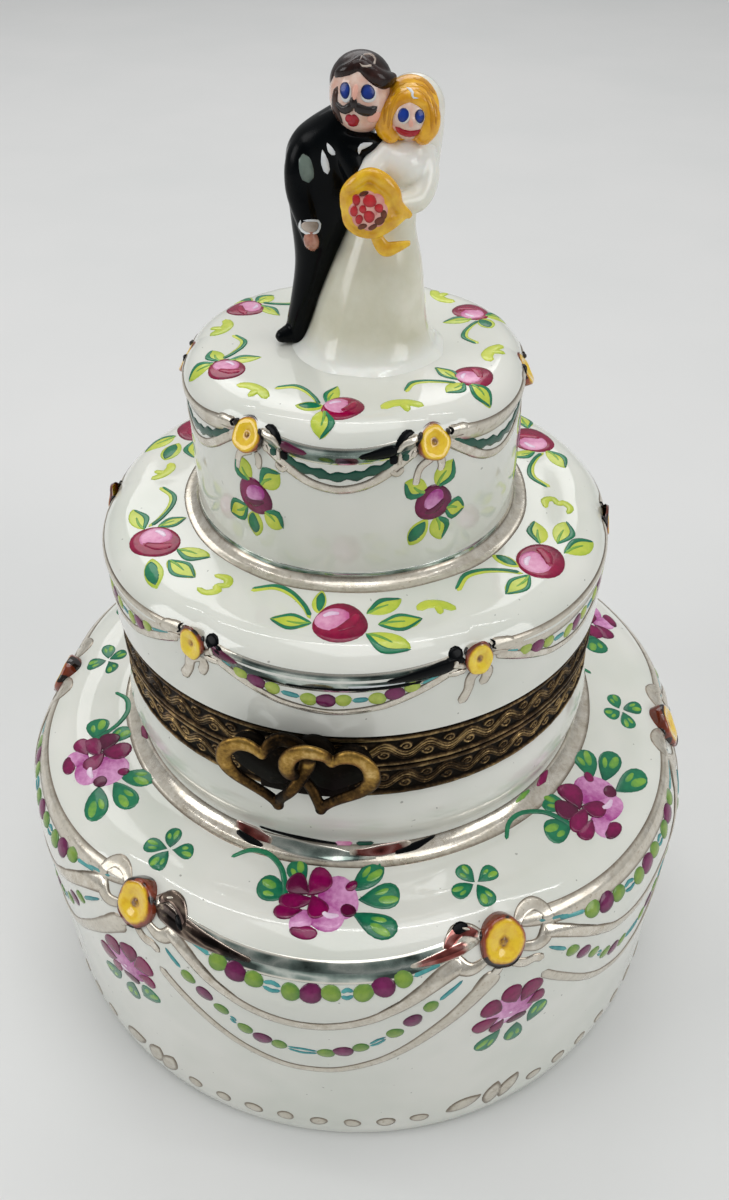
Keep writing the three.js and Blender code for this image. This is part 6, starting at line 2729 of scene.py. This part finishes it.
@dataclass(frozen=True)
class SoftLight:
    """A softbox, from a place towards a target, in millimetres. Its level is how brightly it lights a
    surface that faces it, where 1 shows a colour as it is written."""

    name: str
    place: Point3
    target: Point3
    size: Point2
    level: float

    def build(self) -> None:
        """Makes the light."""
        aim = (Vector(self.target) - Vector(self.place)) * MM
        data = bpy.data.lights.new(self.name, "AREA")
        data.shape, data.size, data.size_y = "RECTANGLE", self.size[0] * MM, self.size[1] * MM
        data.energy = self.level * pi**2 * aim.length_squared
        light = bpy.data.objects.new(self.name, data)
        light.location = Vector(self.place) * MM
        light.rotation_euler = aim.to_track_quat("-Z", "Y").to_euler()
        bpy.context.scene.collection.objects.link(light)


class Room:
    """A plain pale table, soft studio light and the photograph's camera."""

    PICTURE = (729, 1200)
    FOCAL_PIXELS = 1050.0
    SHIFT_PIXELS = 68.5
    PITCH = radians(42.68)
    ROLL = -0.0036786
    HEADING = radians(10.8)
    CAMERA = (0.628, -72.59, 96.73)

    def floor(self) -> None:
        """Makes the table top."""
        s = Sheet.named("pale_table")
        colour = s.clouded("#e4e4e3", "#dfe0df", 60.0, 3.0, 0.3, 0.7)
        grain = s.relief(0.6, 2.0, 0.02, 0.3)
        s.finish(s.add("BsdfPrincipled", {"Base Color": colour, "Roughness": 0.6, "Normal": grain}))
        mesh = bpy.data.meshes.new("table_top")
        half = 1.6
        corner_points = [(x * half, y * half, 0) for x, y in ((-1, -1), (1, -1), (1, 1), (-1, 1))]
        mesh.from_pydata(corner_points, [], [(0, 1, 2, 3)])
        mesh.materials.append(s.owner)
        floor = bpy.data.objects.new("table_top", mesh)
        bpy.context.scene.collection.objects.link(floor)

    def world(self) -> None:
        """Makes the surroundings: bright overhead, grey at the sides and dimmer in front, so that the
        glaze and the lustre have something to mirror."""
        world = bpy.data.worlds.new("pale_room")
        bpy.context.scene.world = world
        s = Sheet(world, "ShaderNodeOutputWorld")
        way = s.add("TexCoord", out="Generated")
        stops = ((0.0, "#b4b7b8"), (0.2, "#cbcdce"), (0.55, "#f0f1f1"), (1.0, "#f9f9f9"))
        room = s.add("ValToRGB", (s.add("SeparateXYZ", (way,), "Z"),), stops=stops)
        facing = s.add("VectorMath", (way, (-0.1, -0.86, 0.5)), "Value", operation="DOT_PRODUCT")
        dim = s.add("MapRange", (facing, 0.7, 1.0, 0.0, 0.7))
        colour = s.add("Mix", {0: dim, 6: room, 7: "#4b504e"}, 2, data_type="RGBA")
        s.finish(s.add("Background", {"Color": colour, "Strength": 0.56}))

    def lights(self) -> None:
        """Makes the softboxes and the lamp tube whose thin line shows along the shoulders."""
        middle = (0.0, 0.0, 40.0)
        for light in (
            SoftLight("window_behind", (-120, 380, 420), middle, (420, 260), 0.2),
            SoftLight("softbox_above", (40, -60, 520), middle, (300, 300), 0.2),
            SoftLight("lamp_tube", (0, 40, 500), middle, (640, 14), 0.1),
            SoftLight("softbox_left", (-420, -220, 260), middle, (260, 260), 0.24),
            SoftLight("softbox_right", (430, -160, 240), middle, (220, 260), 0.2),
        ):
            light.build()

    def camera(self) -> None:
        """Makes the camera that was fitted to the photograph."""
        data = bpy.data.cameras.new("photo_camera")
        long_side = max(self.PICTURE)
        data.sensor_width = 36.0
        data.lens = self.FOCAL_PIXELS / long_side * data.sensor_width
        data.shift_y = self.SHIFT_PIXELS / long_side
        data.clip_start, data.clip_end = 0.005, 10.0
        camera = bpy.data.objects.new("photo_camera", data)
        turn = Matrix.Rotation(self.HEADING, 4, "Z")
        tilt = Euler((pi / 2 - self.PITCH, 0, 0)).to_matrix().to_4x4()
        roll = Matrix.Rotation(self.ROLL, 4, "Z")
        camera.matrix_world = turn @ Matrix.Translation(Vector(self.CAMERA) * MM) @ tilt @ roll
        bpy.context.scene.collection.objects.link(camera)
        bpy.context.scene.camera = camera

    def build(self) -> None:
        """Makes the room."""
        self.floor()
        self.world()
        self.lights()
        self.camera()
        bpy.context.scene.view_settings.view_transform = "Standard"


def main() -> None:
    """Builds the scene."""
    random.seed(7)
    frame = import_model()
    Porcelain(SIZES).build()
    Brasswork(SIZES, frame["nodes"]).build()
    BaseOrnament(SIZES.base).build()
    LidOrnament(SIZES.mid, SIZES.top).build()
    Couple(SIZES).build()
    Room().build()


if __name__ == "__main__":
    main()
